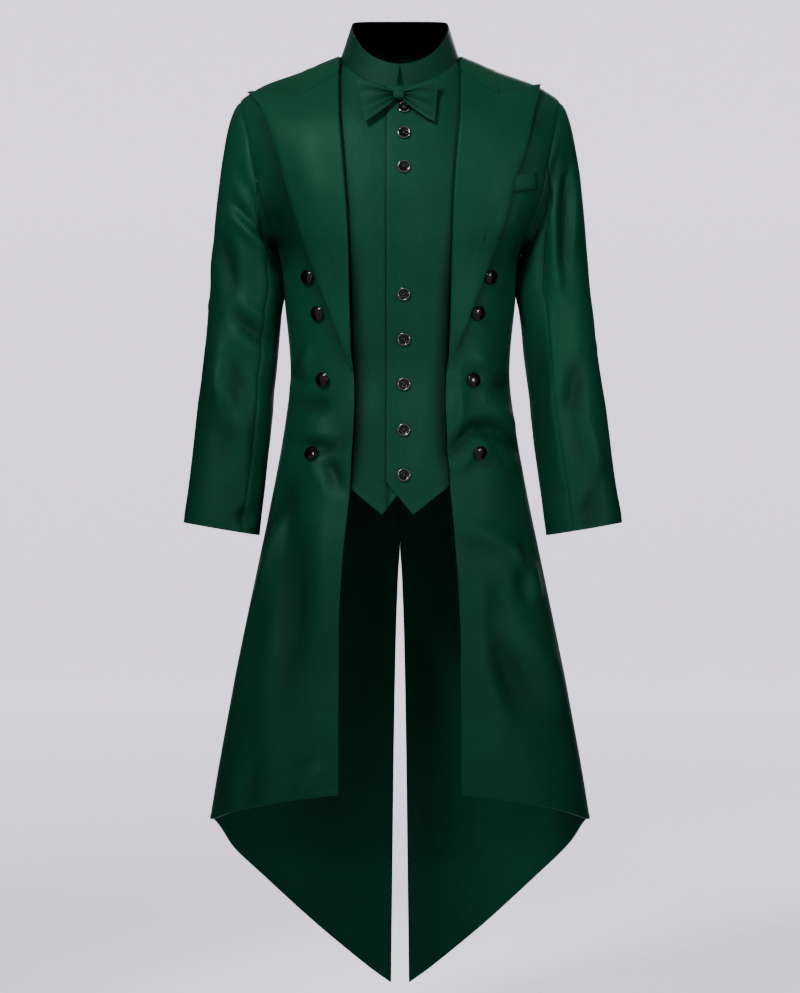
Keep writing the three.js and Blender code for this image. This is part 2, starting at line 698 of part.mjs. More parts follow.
// Two-piece sleeves: the seams lie on the same steps as the armhole's edge
const ARM_STEP = Math.PI / UPPER_ROWS;
const FRONT_SEAM_STEP = { left: 6, right: 7 };
const BACK_SEAM_STEP = 14;
for (const { side, word } of SIDES) {
  const rows = [...spread(0, 1, 7), ...spread(1, 2, 8).slice(1)];
  const outward = (point) => new THREE.Vector3(point.x - side * SLEEVE_MIDDLE_X, point.y, 0);
  const frontSeam = FRONT_SEAM_STEP[word];
  const around = (from, to) => {
    const steps = spread(from, to, to - from).map((step) => step * ARM_STEP);
    const pull = SEAM_GAP / 2 / SLEEVE_RADIUS;
    steps[0] += pull;
    steps[steps.length - 1] -= pull;
    return steps;
  };
  const surface = (a, v) => sleevePoint(side, (a + 2 * Math.PI) % (2 * Math.PI), v);
  const turns = 2 * UPPER_ROWS;
  const topSteps = around(BACK_SEAM_STEP - turns, frontSeam);
  const underSteps = around(frontSeam, BACK_SEAM_STEP);
  addShell(`top_sleeve_${word}`, surface, topSteps, rows, () => -WALL, WALL, outward, true);
  addShell(`under_sleeve_${word}`, surface, underSteps, rows, () => -WALL, WALL, outward, true);
}

// Lapels, coat collar and stand collar
for (const { side, word } of SIDES) {
  const surface = (u, v) => lapelPoint(side, u, v);
  const rows = spread(0, 1, 18);
  addShell(`lapel_${word}`, surface, spread(0, 1, 8), rows, lapelLift, WALL, outOfBody);
}
const leafLift = (q, w) => LEAF_LIFT + LEAF_EDGE_LIFT * w;
addShell('coat_collar', leafPoint, spread(-1, 1, 32), spread(0, 1, 4), leafLift, WALL, outOfBody);
const outOfNeck = (point) => new THREE.Vector3(point.x, point.y, 0);
addShell('stand_collar', collarPoint, spread(0, 1, 32), spread(0, 1, 3), () => -WALL, WALL, outOfNeck);

// Waistcoat front
const overSurface = (u, v) => vestPoint(OVER_HEM, 0, u, v);
const underSurface = (u, v) => vestPoint(UNDER_HEM, VEST_OVERLAP_INSET, u, v);
addShell('vest_front_over', overSurface, spread(0, 1, 8), spread(0, 1, 21), () => -WALL, WALL, outOfBody);
addShell('vest_front_under', underSurface, spread(0, 1, 8), spread(0, 1, 21), () => -WALL, WALL, outOfBody);

// Breast pocket welt
const weltSurface = (u, v) => {
  const [lowIn, lowOut, highOut, highIn] = WELT_CORNERS;
  const x = lerp(lerp(lowIn.x, lowOut.x, u), lerp(highIn.x, highOut.x, u), v);
  const z = lerp(lerp(lowIn.z, lowOut.z, u), lerp(highIn.z, highOut.z, u), v);
  return bodyPointAtX(1, -1, x, z);
};
const weltLift = () => WELT_LIFT;
addShell('breast_welt', weltSurface, spread(0, 1, 3), spread(0, 1, 2), weltLift, WELT_WALL, outOfBody);

// Bow tie: two pleated wings and a knot
function bowBack(x, z) {
  return bodyPointAtX(1, -1, Math.abs(x), Math.min(z, BOW_Z)).y - BOW_STAND_OFF;
}

for (const { side, word } of SIDES) {
  const front = [];
  const back = [];
  const across = spread(0, 1, 7);
  const upward = spread(-1, 1, 9);
  for (const v of upward) {
    for (const u of across) {
      const x = lerp(BOW_ROOT_X, BOW_TIP_X + BOW_LEAN * v, u);
      const half = readTable(BOW_HALF_HEIGHT, 'x', 'z', x);
      const z = BOW_Z - BOW_DROOP * u * u + half * v;
      const round = Math.sqrt(Math.max(0, 1 - v ** 4));
      const pleat = BOW_PLEAT_DEPTH * Math.cos(v * Math.PI * BOW_PLEATS) * (1 - 0.75 * u);
      const thick = BOW_HALF_THICK * (0.25 + 0.75 * round) * (1 + 0.5 * Math.sin(Math.PI * u));
      const y = bowBack(x, z);
      front.push(new THREE.Vector3(side * x, y - thick + pleat, z));
      back.push(new THREE.Vector3(side * x, y + thick * 0.6 + pleat * 0.5, z));
    }
  }
  addPiece(`bow_wing_${word}`, closedGeometry(front, back, across.length, upward.length), CLOTH);
}

// Rounded block as a lathe of a superellipse, turned to its place
function knotGeometry() {
  const profile = spread(-HALF_PI, HALF_PI, 8).map((a) => new THREE.Vector2(
    Math.max(0, Math.cos(a)) ** KNOT_ROUNDNESS,
    Math.sign(Math.sin(a)) * Math.abs(Math.sin(a)) ** KNOT_ROUNDNESS,
  ));
  profile[0].x = 0;
  profile[profile.length - 1].x = 0;
  const geometry = new THREE.LatheGeometry(profile, 14);
  geometry.scale(KNOT_HALF_WIDTH, KNOT_HALF_HEIGHT, KNOT_HALF_DEPTH);
  geometry.rotateX(HALF_PI);
  return geometry;
}

const knot = addPiece('bow_knot', knotGeometry(), CLOTH);
const knotBack = bodyPointAtX(1, -1, 0, BOW_Z - KNOT_HALF_HEIGHT).y + KNOT_SEAT;
knot.position.set(0, knotBack - KNOT_HALF_DEPTH, BOW_Z);

// Buttons turned on a lathe: profiles as radius and height above the cloth
const COAT_BUTTON_PROFILE = [
  [0, 0],
  [3.2, 0],
  [3.2, 3.2],
  [9, 3.6],
  [COAT_BUTTON_RADIUS, 4.6],
  [9.3, 6.2],
  [5.5, 8.2],
  [0, 9],
];
const FRONT_BUTTON_PROFILE = [
  [0, 0],
  [7.4, 0],
  [FRONT_BUTTON_RADIUS, 1.4],
  [FRONT_BUTTON_RADIUS, 2.6],
  [7.9, 3.4],
  [6.3, 2.6],
  [0, 2.2],
];

function latheGeometry(profile, segments) {
  return new THREE.LatheGeometry(profile.map(([r, h]) => new THREE.Vector2(r, h)), segments);
}

// Stands a button on a surface, with its axis along the surface's outward direction
function placeButton(name, profile, surfaceAt, x, z) {
  const mesh = addPiece(name, latheGeometry(profile, 12), BUTTON);
  const reach = 2;
  const alongX = surfaceAt(x + reach, z).sub(surfaceAt(x - reach, z));
  const alongZ = surfaceAt(x, z + reach).sub(surfaceAt(x, z - reach));
  const normal = alongX.cross(alongZ).normalize();
  if (normal.y > 0) {
    normal.negate();
  }
  mesh.quaternion.setFromUnitVectors(new THREE.Vector3(0, 1, 0), normal);
  mesh.position.copy(surfaceAt(x, z)).addScaledVector(normal, BUTTON_LIFT);
}

COAT_BUTTONS.forEach(({ side, x, z }, i) => {
  const name = `coat_button_${side > 0 ? 'left' : 'right'}_${(i % 4) + 1}`;
  placeButton(name, COAT_BUTTON_PROFILE, (atX, atZ) => bodyPointAtX(side, -1, atX, atZ), x, z);
});

FRONT_BUTTON_HEIGHTS.forEach((z, i) => {
  const surfaceAt = (x, atZ) => bodyPointAtX(1, -1, Math.max(0.01, x), atZ, vestInset(x, atZ));
  placeButton(`front_button_${i + 1}`, FRONT_BUTTON_PROFILE, surfaceAt, FRONT_BUTTON_X, z);
});

export default group;
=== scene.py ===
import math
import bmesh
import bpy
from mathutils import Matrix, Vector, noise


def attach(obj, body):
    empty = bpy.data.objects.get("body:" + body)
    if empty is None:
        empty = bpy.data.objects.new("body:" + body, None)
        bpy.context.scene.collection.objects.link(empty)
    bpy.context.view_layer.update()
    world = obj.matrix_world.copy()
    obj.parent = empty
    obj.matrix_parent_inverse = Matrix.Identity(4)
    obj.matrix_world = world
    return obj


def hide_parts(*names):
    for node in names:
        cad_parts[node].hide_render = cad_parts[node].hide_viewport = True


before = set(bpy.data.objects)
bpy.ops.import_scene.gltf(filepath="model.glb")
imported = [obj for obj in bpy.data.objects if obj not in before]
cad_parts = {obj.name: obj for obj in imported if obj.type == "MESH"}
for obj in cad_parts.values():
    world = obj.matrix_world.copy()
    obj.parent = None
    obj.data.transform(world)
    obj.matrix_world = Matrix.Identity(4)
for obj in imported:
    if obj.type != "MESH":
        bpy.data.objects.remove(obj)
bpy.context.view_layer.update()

# %% [markdown]
# # A tailcoat, sewn in Blender
# The coat is deep green suiting: two fronts, two tailed backs, two-piece sleeves, wide peaked
# lapels and a collar leaf. A mock waistcoat front, a stand collar and a bow tie are sewn in.
# The imported solids are loaded first. They give the object's size, and each is hidden when its
# cloth piece is sewn on.

MM = 0.001
HALF_PI = math.pi / 2
SIDES = (("left", 1), ("right", -1))
FRONT, BACK = -1, 1

# %% [markdown]
# ## Camera
# The coat hangs filled out, straight in front of a long lens. A lens of this length from five
# metres flattens it as the picture does. The camera looks level at the middle of the coat.

# %% Camera
CAMERA_AWAY = 5.0
CAMERA_HEIGHT = -0.6139
LENS = 129.5
camera_data = bpy.data.cameras.new("camera")
camera_data.lens = LENS
camera = bpy.data.objects.new("camera", camera_data)
camera.location = (0, -CAMERA_AWAY, CAMERA_HEIGHT)
camera.rotation_euler = (HALF_PI, 0, 0)
bpy.context.collection.objects.link(camera)
bpy.context.scene.camera = camera
print("camera:", LENS, "mm lens,", CAMERA_AWAY, "m away")

# %% [markdown]
# ## Sizes
# The cloth follows the same form as the solids: rings round the body, a shoulder line, an
# armhole and hems, each a short table in millimetres that is read on a smooth curve. Left and
# right are the wearer's; the front faces -Y and the wearer's left is +X.

# %% Tables of the form


def rows(names, *values):
    """A table with named columns."""
    return [dict(zip(names.split(), value)) for value in values]


BODY = rows(
    "z half front back",
    (60, 244, 58, 78), (0, 243, 66, 90), (-48, 241, 81, 102), (-115, 234, 112, 117),
    (-190, 218, 127, 127), (-245, 194, 128, 125), (-275, 170, 127, 121),
    (-353, 160.4, 118, 108), (-437, 153.4, 112, 102), (-500, 159, 117, 110),
    (-605, 177, 131, 132), (-710, 198.8, 141, 148), (-878, 233, 149, 160),
    (-1064, 265.6, 154, 166), (-1320, 300, 158, 172),
)
RING_POWER = 2.3
SHOULDER_LINE = rows(
    "x z",
    (0, 36), (45, 25.5), (62, 17.5), (75, 8.5), (83, 1.5), (92, -3), (112, -10.5),
    (150, -24), (189, -38), (213, -52), (224, -60),
)
ROUNDING = {FRONT: 100, BACK: 60}
NECK_HALF_WIDTH = 83
NECK_SIDE_Z = 1.5
NECK_FRONT_DROP = 49
NECK_FRONT_POWER = 1.5
NAPE_Z = 14
FRONT_EDGE = rows(
    "z x",
    (10, 85), (-84, 84), (-160, 78), (-237, 73), (-387, 69), (-434, 65), (-490, 63),
    (-602, 69), (-700, 77.5), (-810, 83), (-1060, 84.5),
)
ARMHOLE = rows(
    "t frontX frontZ backX backZ",
    (0, 170, -275, 170, -275), (0.25, 185, -243, 183, -240), (0.5, 200, -180, 197, -176),
    (0.75, 214, -112, 212, -112), (1, 224, -60, 224, -60),
)
UNDERARM_Z = -275
FRONT_HEM = rows(
    "x z",
    (84.5, -1020), (102, -1022), (151, -1029), (221, -1045), (265.6, -1064),
)
TAIL_HEM = rows(
    "x z",
    (0, -1326), (39, -1299), (94, -1254), (144, -1210), (189, -1165), (232, -1118),
    (265.6, -1064),
)
VENT = rows(
    "z x",
    (20, 0.5), (-150, 0.25), (-680, 0.25), (-694, 0.25), (-720, 2.2), (-810, 5.6),
    (-975, 8.8), (-1145, 10.8), (-1330, 13),
)
SLEEVE = rows(
    "z outer inner middleY halfDepth",
    (-290, 264, 164, 4, 64), (-325, 266, 160.5, 2, 62), (-353, 269, 165.5, 0, 60),
    (-416, 275, 171.5, -4, 56),
    (-500, 286, 180, -10, 53), (-584, 296, 190, -16, 49), (-668, 307, 200.5, -23, 46),
)
SLEEVE_TOP_Z = -290
CUFF_Z = -659
CUFF_SLANT = 9
SLEEVE_SWING = 4
SLEEVE_RADIUS = 55
print("rings:", len(BODY), "of the body,", len(SLEEVE), "of a sleeve")

# %% [markdown]
# ## Folds
# Cloth over a form shows two kinds of folds. The broad ones swell the panels and are the same as on
# the solids. The finer creases are laid from the picture: each is a line of points seen from the
# front, with a width and a height, a trough being negative. A crease is steeper on one side than on
# the other, so that it catches light as pressed cloth does.

# %% Broad folds
BODY_FOLDS = rows(
    "side facing angleA zA angleB zB width height",
    (1, -1, 36, -672, 62, -722, 26, 5), (1, -1, 60, -800, 70, -1000, 34, 6),
    (1, -1, 40, -540, 62, -590, 20, -4), (-1, -1, 66, -672, 74, -860, 28, 5),
    (-1, -1, 34, -476, 66, -500, 18, -4), (-1, -1, 48, -830, 44, -1010, 32, 5),
    (1, 1, 52, -760, 58, -1090, 38, 7), (-1, 1, 48, -740, 55, -1100, 36, 7),
    (1, 1, 24, -900, 27, -1200, 32, -6), (-1, 1, 26, -880, 24, -1220, 34, -6),
)
SLEEVE_FOLDS = rows(
    "side angleA zA angleB zB width height",
    (-1, 60, -205, 128, -262, 16, -5), (-1, 75, -165, 138, -225, 14, -4),
    (-1, 95, -430, 170, -470, 18, -4), (1, 58, -150, 66, -330, 16, -4),
    (1, 100, -440, 168, -478, 18, -4), (1, 250, -420, 305, -470, 20, -4),
    (-1, 245, -410, 300, -465, 20, -4),
)
print(len(BODY_FOLDS) + len(SLEEVE_FOLDS), "broad folds")

# %% Creases laid from the picture
PICTURE_MIDDLE = (400, 496.5)
PIXEL = {FRONT: 1.37, BACK: 1.43}


def seen(facing, *spots):
    """Spots of the picture, in pixels, as millimetres on the near or the far side."""
    size = PIXEL[facing]
    return [
        ((x - PICTURE_MIDDLE[0]) * size, CAMERA_HEIGHT / MM - (y - PICTURE_MIDDLE[1]) * size)
        for x, y in spots
    ]


def crease_table(facing, *entries):
    """Rows of width, height and spots in the picture."""
    return [
        {"facing": facing, "width": width, "height": height, "points": seen(facing, *spots)}
        for width, height, *spots in entries
    ]


BODY_CREASES = crease_table(
    FRONT,
    (7, 3.2, (309, 348), (303, 372)),
    (11, -3, (302, 404), (328, 408)),
    (10, 3, (299, 434), (332, 438)),
    (9, -3.5, (302, 446), (336, 447)),
    (11, -3.5, (322, 456), (339, 489)),
    (14, -3, (288, 478), (284, 532)),
    (8, 4.5, (284, 512), (262, 584)),
    (24, 4, (322, 505), (326, 645)),
    (20, -2.4, (300, 545), (284, 725)),
    (14, 3, (326, 766), (296, 790)),
    (16, 3, (228, 815), (242, 752)),
    (10, 4.5, (506, 470), (478, 441), (452, 469)),
    (11, -4.5, (456, 454), (476, 431), (500, 431), (521, 452)),
    (14, 3, (472, 354), (491, 369)),
    (12, 3, (458, 383), (457, 420)),
    (12, 3, (491, 402), (521, 432)),
    (12, 2.5, (463, 527), (506, 546)),
    (8, 4, (526, 573), (511, 546)),
    (9, 4, (529, 554), (537, 603)),
    (22, 4.5, (520, 626), (556, 698)),
    (20, 3, (476, 572), (480, 634)),
    (18, -2.2, (492, 620), (524, 730)),
    (10, -3, (283, 368), (300, 378)),
    (10, -3, (511, 372), (496, 386)),
    (16, -4, (540, 205), (514, 264)),
    (16, -4, (266, 205), (284, 262)),
    (26, 2.2, (368, 190), (366, 340)),
    (26, 2.2, (430, 180), (432, 340)),
    (16, -1.6, (392, 250), (391, 420)),
    (24, 2.5, (428, 380), (430, 470)),
    (22, 2.2, (366, 400), (364, 480)),
    (30, 2.5, (305, 130), (325, 230)),
    (30, 2.5, (500, 130), (480, 230)),
) + crease_table(
    BACK,
    (26, -4, (292, 130), (326, 236)),
    (26, -4, (508, 128), (476, 240)),
    (12, -4, (318, 326), (388, 342)),
    (12, 4, (314, 350), (392, 362)),
    (11, -4, (484, 330), (412, 346)),
    (12, 4, (488, 356), (408, 365)),
    (14, -3.5, (322, 388), (352, 398)),
    (13, -3.5, (480, 392), (446, 400)),
    (20, 5, (334, 500), (312, 760)),
    (20, 5, (468, 510), (494, 770)),
    (16, -5, (302, 490), (270, 700)),
    (16, -5, (498, 495), (532, 705)),
    (24, 5, (352, 630), (345, 880)),
    (24, 5, (452, 640), (460, 890)),
)
SLEEVE_CREASES = crease_table(
    FRONT,
    (8, 4.5, (272, 256), (225, 206)),
    (12, -5, (262, 194), (275, 264)),
    (12, -3, (222, 232), (231, 292)),
    (10, 3, (236, 298), (264, 324)),
    (12, -3, (238, 318), (267, 344)),
    (14, 3.5, (216, 328), (218, 412)),
    (14, -4, (226, 358), (241, 412)),
    (14, 3, (240, 398), (240, 482)),
    (10, -3.5, (236, 521), (250, 513)),
    (9, -5, (558, 152), (547, 200), (519, 258)),
    (9, 3.5, (557, 212), (557, 302)),
    (9, -5, (569, 176), (564, 268)),
    (9, 3.5, (577, 166), (573, 252)),
    (12, 4, (555, 312), (556, 405), (565, 480)),
    (14, -3.5, (580, 362), (571, 414)),
    (16, -3.5, (598, 488), (584, 532)),
    (12, 3, (590, 418), (601, 472)),
) + crease_table(
    BACK,
    (10, -5, (252, 288), (212, 328)),
    (10, 4.5, (258, 308), (211, 352)),
    (11, -4, (260, 345), (220, 374)),
    (12, -4, (262, 190), (234, 240)),
    (14, 3.5, (232, 410), (226, 490)),
    (10, -5, (546, 292), (590, 332)),
    (10, 4.5, (542, 312), (592, 356)),
    (11, -4, (540, 350), (582, 378)),
    (12, -4, (540, 194), (568, 238)),
    (14, 3.5, (574, 412), (584, 494)),
)
print(len(BODY_CREASES) + len(SLEEVE_CREASES), "creases")

# %% Reading tables and creases


def lerp(a, b, t):
    return a + (b - a) * t


def clamp(t):
    return min(1.0, max(0.0, t))


def smooth_step(a, b, value):
    t = clamp((value - a) / (b - a))
    return t * t * (3 - 2 * t)


def hermite(p0, m0, p1, m1, t):
    t2, t3 = t * t, t * t * t
    start = (2 * t3 - 3 * t2 + 1) * p0 + (t3 - 2 * t2 + t) * m0
    return start + (3 * t2 - 2 * t3) * p1 + (t3 - t2) * m1


def read(table, key, column, at):
    """The value of a column on a smooth curve through the rows."""
    last = len(table) - 1
    way = 1 if table[last][key] > table[0][key] else -1
    if (at - table[0][key]) * way <= 0:
        return table[0][column]
    if (at - table[last][key]) * way >= 0:
        return table[last][column]
    i = 0
    while (at - table[i + 1][key]) * way > 0:
        i += 1

    def slope(k):
        before, after = table[max(k - 1, 0)], table[min(k + 1, last)]
        return (after[column] - before[column]) / (after[key] - before[key])

    span = table[i + 1][key] - table[i][key]
    t = (at - table[i][key]) / span
    return hermite(table[i][column], span * slope(i), table[i + 1][column], span * slope(i + 1), t)


def read_corners(table, key, column, at):
    """The value of a column along straight lines, for an edge with corners."""
    i = 0
    while i < len(table) - 2 and at > table[i + 1][key]:
        i += 1
    t = clamp((at - table[i][key]) / (table[i + 1][key] - table[i][key]))
    return lerp(table[i][column], table[i + 1][column], t)


def fold_height(folds, side, facing, angle, z, radius):
    """Height of the broad folds at a place round the ring, the angle in degrees."""
    per_degree = math.radians(radius)
    height = 0.0
    for fold in folds:
        if fold["side"] != side or fold.get("facing", facing) != facing:
            continue
        along_x = (fold["angleB"] - fold["angleA"]) * per_degree
        along_z = fold["zB"] - fold["zA"]
        from_x = (angle - fold["angleA"]) * per_degree
        from_z = z - fold["zA"]
        t = clamp((from_x * along_x + from_z * along_z) / (along_x**2 + along_z**2))
        away = math.hypot(from_x - t * along_x, from_z - t * along_z) / fold["width"]
        taper = 0.35 + 0.65 * math.sin(math.pi * clamp(0.1 + 0.8 * t))
        height += fold["height"] * taper * math.exp(-away * away)
    return height


CREASE_DEPTH = 2.1
CREASE_REACH = 3.2
STEEP_SIDE_AT, STEEP_SIDE_WIDTH, STEEP_SIDE_DEPTH = 1.5, 1.1, 0.55
SWELLS = rows("height length", (1.0, 85), (0.5, 36))


def crease_height(creases, facing, x, z):
    """Height of the fine creases at a place seen from the front."""
    height = 0.0
    for crease in creases:
        if crease["facing"] != facing:
            continue
        points, width = crease["points"], crease["width"]
        reach = CREASE_REACH * width
        if not min(p[1] for p in points) - reach < z < max(p[1] for p in points) + reach:
            continue
        best, gone = None, 0.0
        total = sum(math.dist(a, b) for a, b in zip(points, points[1:]))
        for a, b in zip(points, points[1:]):
            run_x, run_z = b[0] - a[0], b[1] - a[1]
            length = math.hypot(run_x, run_z)
            t = clamp(((x - a[0]) * run_x + (z - a[1]) * run_z) / (length * length))
            off_x, off_z = x - a[0] - t * run_x, z - a[1] - t * run_z
            away = math.hypot(off_x, off_z)
            if best is None or away < best[0]:
                across = math.copysign(away, off_x * run_z - off_z * run_x)
                best = (away, across, (gone + t * length) / total)
            gone += length
        away, across, part = best
        if away > reach:
            continue
        taper = math.sin(math.pi * clamp(0.06 + 0.88 * part)) ** 0.8
        ridge = math.exp(-((away / width) ** 2))
        steep = (across - STEEP_SIDE_AT * width) / (STEEP_SIDE_WIDTH * width)
        form = ridge - STEEP_SIDE_DEPTH * math.exp(-(steep ** 2))
        height += CREASE_DEPTH * crease["height"] * taper * form
    return height


def unevenness(x, y, z):
    """Cloth is never quite flat: slow swells of about half a millimetre."""
    place = Vector((x, y, z))
    return sum(swell["height"] * noise.noise(place / swell["length"]) for swell in SWELLS)


print("a swell of the cloth:", round(unevenness(100, -100, -300), 2), "mm")

# %% [markdown]
# ## Form of the body
# Every panel lies on one body form, so that neighbours meet. A place is given by its side,
# whether it faces front or back, its distance from the middle and its height. An inset moves
# it inwards, which is how the waistcoat front lies inside the coat.

# %% Body form


def shoulder_top(x):
    return read(SHOULDER_LINE, "x", "z", x)


def ring_angle(x, z):
    return math.asin(clamp(x / read(BODY, "z", "half", z)) ** (RING_POWER / 2))


def body_point(side, facing, angle, z, inset=0.0):
    half = read(BODY, "z", "half", z)
    depth = read(BODY, "z", "front" if facing == FRONT else "back", z)
    x = half * max(0.0, math.sin(angle)) ** (2 / RING_POWER)
    below = clamp(1 - (shoulder_top(x) - z) / ROUNDING[facing])
    fade = math.sqrt(max(0.0, 1 - below * below))
    y = depth * max(0.0, math.cos(angle)) ** (2 / RING_POWER) * fade
    fold = fold_height(BODY_FOLDS, side, facing, math.degrees(angle), z, (half + depth) / 2)
    fine = crease_height(BODY_CREASES, facing, side * x, z) + unevenness(side * x, facing * y, z)
    fine *= smooth_step(0.0, 0.3, math.cos(angle)) * smooth_step(0.0, 0.5, fade)
    move = fold + fine - inset
    drop = inset * (1 - fade)
    out_x, out_y = math.sin(angle), math.cos(angle) * fade
    return Vector((side * (x + out_x * move), facing * (y + out_y * move), z - drop))


def body_at(side, facing, x, z, inset=0.0):
    return body_point(side, facing, ring_angle(x, z), z, inset)


print("front of the chest:", [round(c) for c in body_at(1, FRONT, 100, -190)], "mm")

# %% Body panels
PANEL_PULL = -0.2
FRONT_TUCK = 4.5
VENT_TOP_Z = -690
LAPEL_FOOT_Z = -440
HEM_BETWEEN = (-1400.0, -950.0)
HEM_HALVINGS = 30
hem_cache = {}


def armhole_place(facing, t):
    word = "front" if facing == FRONT else "back"
    return read(ARMHOLE, "t", word + "X", t), read(ARMHOLE, "t", word + "Z", t)


def panel_edge(facing, z):
    return read(FRONT_EDGE if facing == FRONT else VENT, "z", "x", z)


def cut_edge(facing, z):
    """The panel's own edge. A front's ends inside the lapel's roll, and the backs meet above
    the vent."""
    if facing == FRONT:
        return panel_edge(facing, z) + FRONT_TUCK * smooth_step(LAPEL_FOOT_Z, LAPEL_FOOT_Z + 40, z)
    return panel_edge(facing, z) * smooth_step(VENT_TOP_Z, VENT_TOP_Z - 8, z)


def hem_height(facing, u):
    """Height of the hem along a column of a panel, where column and hem line meet."""
    if (facing, u) not in hem_cache:
        hem = FRONT_HEM if facing == FRONT else TAIL_HEM
        low, high = HEM_BETWEEN
        for _ in range(HEM_HALVINGS):
            z = (low + high) / 2
            angle = lerp(ring_angle(panel_edge(facing, z), z), HALF_PI, u)
            x = read(BODY, "z", "half", z) * math.sin(angle) ** (2 / RING_POWER)
            if read(hem, "x", "z", x) > z:
                low = z
            else:
                high = z
        hem_cache[(facing, u)] = low
    return hem_cache[(facing, u)]


def panel_top(facing, x):
    if facing == BACK and x < NECK_HALF_WIDTH:
        return lerp(NECK_SIDE_Z, NAPE_Z, math.sqrt(1 - (x / NECK_HALF_WIDTH) ** 2))
    return shoulder_top(x)


def panel_point(side, facing, u, v):
    """u runs from the panel's inner edge to the side, v from the hem (0) by the underarm (1)
    to the shoulder (2)."""
    shift = Vector((0, facing * PANEL_PULL, 0))
    if v <= 1:
        z = lerp(hem_height(facing, u), UNDERARM_Z, v)
        angle = lerp(ring_angle(cut_edge(facing, z), z), HALF_PI, u)
        return body_point(side, facing, angle, z) + shift
    t = math.sin((v - 1) * HALF_PI)
    top_edge_x = panel_edge(facing, 0)
    edge_z = lerp(UNDERARM_Z, panel_top(facing, top_edge_x), t)
    edge_x = cut_edge(facing, edge_z)
    arm_x, arm_z = armhole_place(facing, t)
    angle = lerp(ring_angle(edge_x, edge_z), ring_angle(arm_x, arm_z), u)
    plain_z = lerp(edge_z, arm_z, u)
    x = read(BODY, "z", "half", plain_z) * math.sin(angle) ** (2 / RING_POWER)
    top_plain = lerp(panel_top(facing, top_edge_x), ARMHOLE[-1]["frontZ"], u)
    z = plain_z + (panel_top(facing, x) - top_plain) * t * t
    return body_at(side, facing, x, min(z, shoulder_top(x))) + shift


print("tails reach", round(-panel_point(1, BACK, 0, 0).z), "mm below the neck")

# %% [markdown]
# ## Cloth
# A piece of cloth starts as a flat grid whose points are moved onto its surface. Its UV map
# keeps the lengths along the cloth in metres, so the weave has its real scale and turns with
# the piece. Lines of the grid crowd at the edges, where the cloth dips into a seam or is turned
# for a hem. A subdivision rounds the form, and a wall is grown inwards.

# %% Materials' helper


def linear(hex_colour):
    """An sRGB hex colour as linear numbers for a shader."""
    parts = [int(hex_colour[i:i + 2], 16) / 255 for i in (1, 3, 5)]
    return [c / 12.92 if c <= 0.04045 else ((c + 0.055) / 1.055) ** 2.4 for c in parts] + [1.0]


def add_node(material, kind, links=(), **settings):
    """Adds a node. A setting names a property or an input; a link is (input, output socket)."""
    node = material.node_tree.nodes.new(kind)
    for name, value in settings.items():
        label = name.replace("_", " ")
        if hasattr(node, name):
            setattr(node, name, value)
        else:
            socket = next(s for s in node.inputs if s.name.lower() == label.lower())
            socket.default_value = value
    for target, source in links:
        material.node_tree.links.new(node.inputs[target], source)
    return node


def new_material(name):
    material = bpy.data.materials.new(name)
    material.use_nodes = True
    material.node_tree.nodes.clear()
    return material


# %% [markdown]
# ### Suiting
# The coat is a smooth polyester suiting: a fine twill with a soft sheen, deep green in the light
# and nearly black in its folds, partly from real shading and partly from shade painted into its
# colour. Its threads lie about 0.4 mm apart, too fine to show, so the twill is drawn with ribs 1.3
# mm apart. The waistcoat front and collar are the same cloth, and the inside is a darker lining;
# inside the stand collar it is near black, which is painted shade. A wave texture of scale 1
# repeats every pi / 10.

# %% Suiting
TWILL_TURN = math.radians(63)
WAVE_REPEAT = math.pi / 10
SWELL_SCALE, FLECK_SCALE = 9.0, 420.0


def suiting(name, dark, light, rib_mm, sheen, roughness, shine=0.07):
    material = new_material(name)
    uv = add_node(material, "ShaderNodeUVMap", uv_map="cloth").outputs["UV"]
    space = add_node(material, "ShaderNodeTexCoord").outputs["Object"]
    slant = add_node(material, "ShaderNodeMapping", [("Vector", uv)], Rotation=(0, 0, TWILL_TURN))
    ribs = add_node(
        material, "ShaderNodeTexWave", [("Vector", slant.outputs[0])],
        Scale=WAVE_REPEAT / (rib_mm * MM), Distortion=1.5, Detail=2.0, Detail_Scale=3.0,
    )
    # Painted shade: the colour is scaled down by a per-point attribute, darker in troughs and
    # beside edges that would throw shadows.
    painted_shade_node = add_node(material, "ShaderNodeAttribute", attribute_name="painted_shade")
    depth = add_node(
        material, "ShaderNodeMath", [(1, painted_shade_node.outputs["Fac"])], operation="SUBTRACT",
    )
    depth.inputs[0].default_value = 1.0
    swell, fleck = (
        add_node(material, "ShaderNodeTexNoise", [("Vector", space)], Scale=scale, Detail=detail)
        for scale, detail in ((SWELL_SCALE, 3.0), (FLECK_SCALE, 2.0))
    )
    blend = add_node(
        material, "ShaderNodeMath", [(0, swell.outputs[0]), (1, fleck.outputs[0])],
        operation="MULTIPLY",
    )
    ramp = add_node(material, "ShaderNodeValToRGB", [("Fac", blend.outputs[0])])
    for stop, place, colour in zip(ramp.color_ramp.elements, (0.12, 0.42), (dark, light)):
        stop.position, stop.color = place, linear(colour)
    folded = add_node(
        material, "ShaderNodeVectorMath", [(0, ramp.outputs[0]), ("Scale", depth.outputs[0])],
        operation="SCALE",
    )
    weave = add_node(
        material, "ShaderNodeBump", [("Height", ribs.outputs["Fac"])],
        Strength=0.08, Distance=0.3 * MM,
    )
    nap = add_node(
        material, "ShaderNodeBump", [("Height", fleck.outputs[0]), ("Normal", weave.outputs[0])],
        Strength=0.12, Distance=0.6 * MM,
    )
    shader = add_node(
        material, "ShaderNodeBsdfPrincipled",
        [("Base Color", folded.outputs[0]), ("Normal", nap.outputs[0])],
        Roughness=roughness, IOR=1.5, Specular_IOR_Level=shine, Specular_Tint=linear("#9fe0c4"),
        Sheen_Weight=sheen, Sheen_Roughness=0.45, Sheen_Tint=linear("#5fc09a"),
    )
    add_node(material, "ShaderNodeOutputMaterial", [("Surface", shader.outputs[0])])
    return material


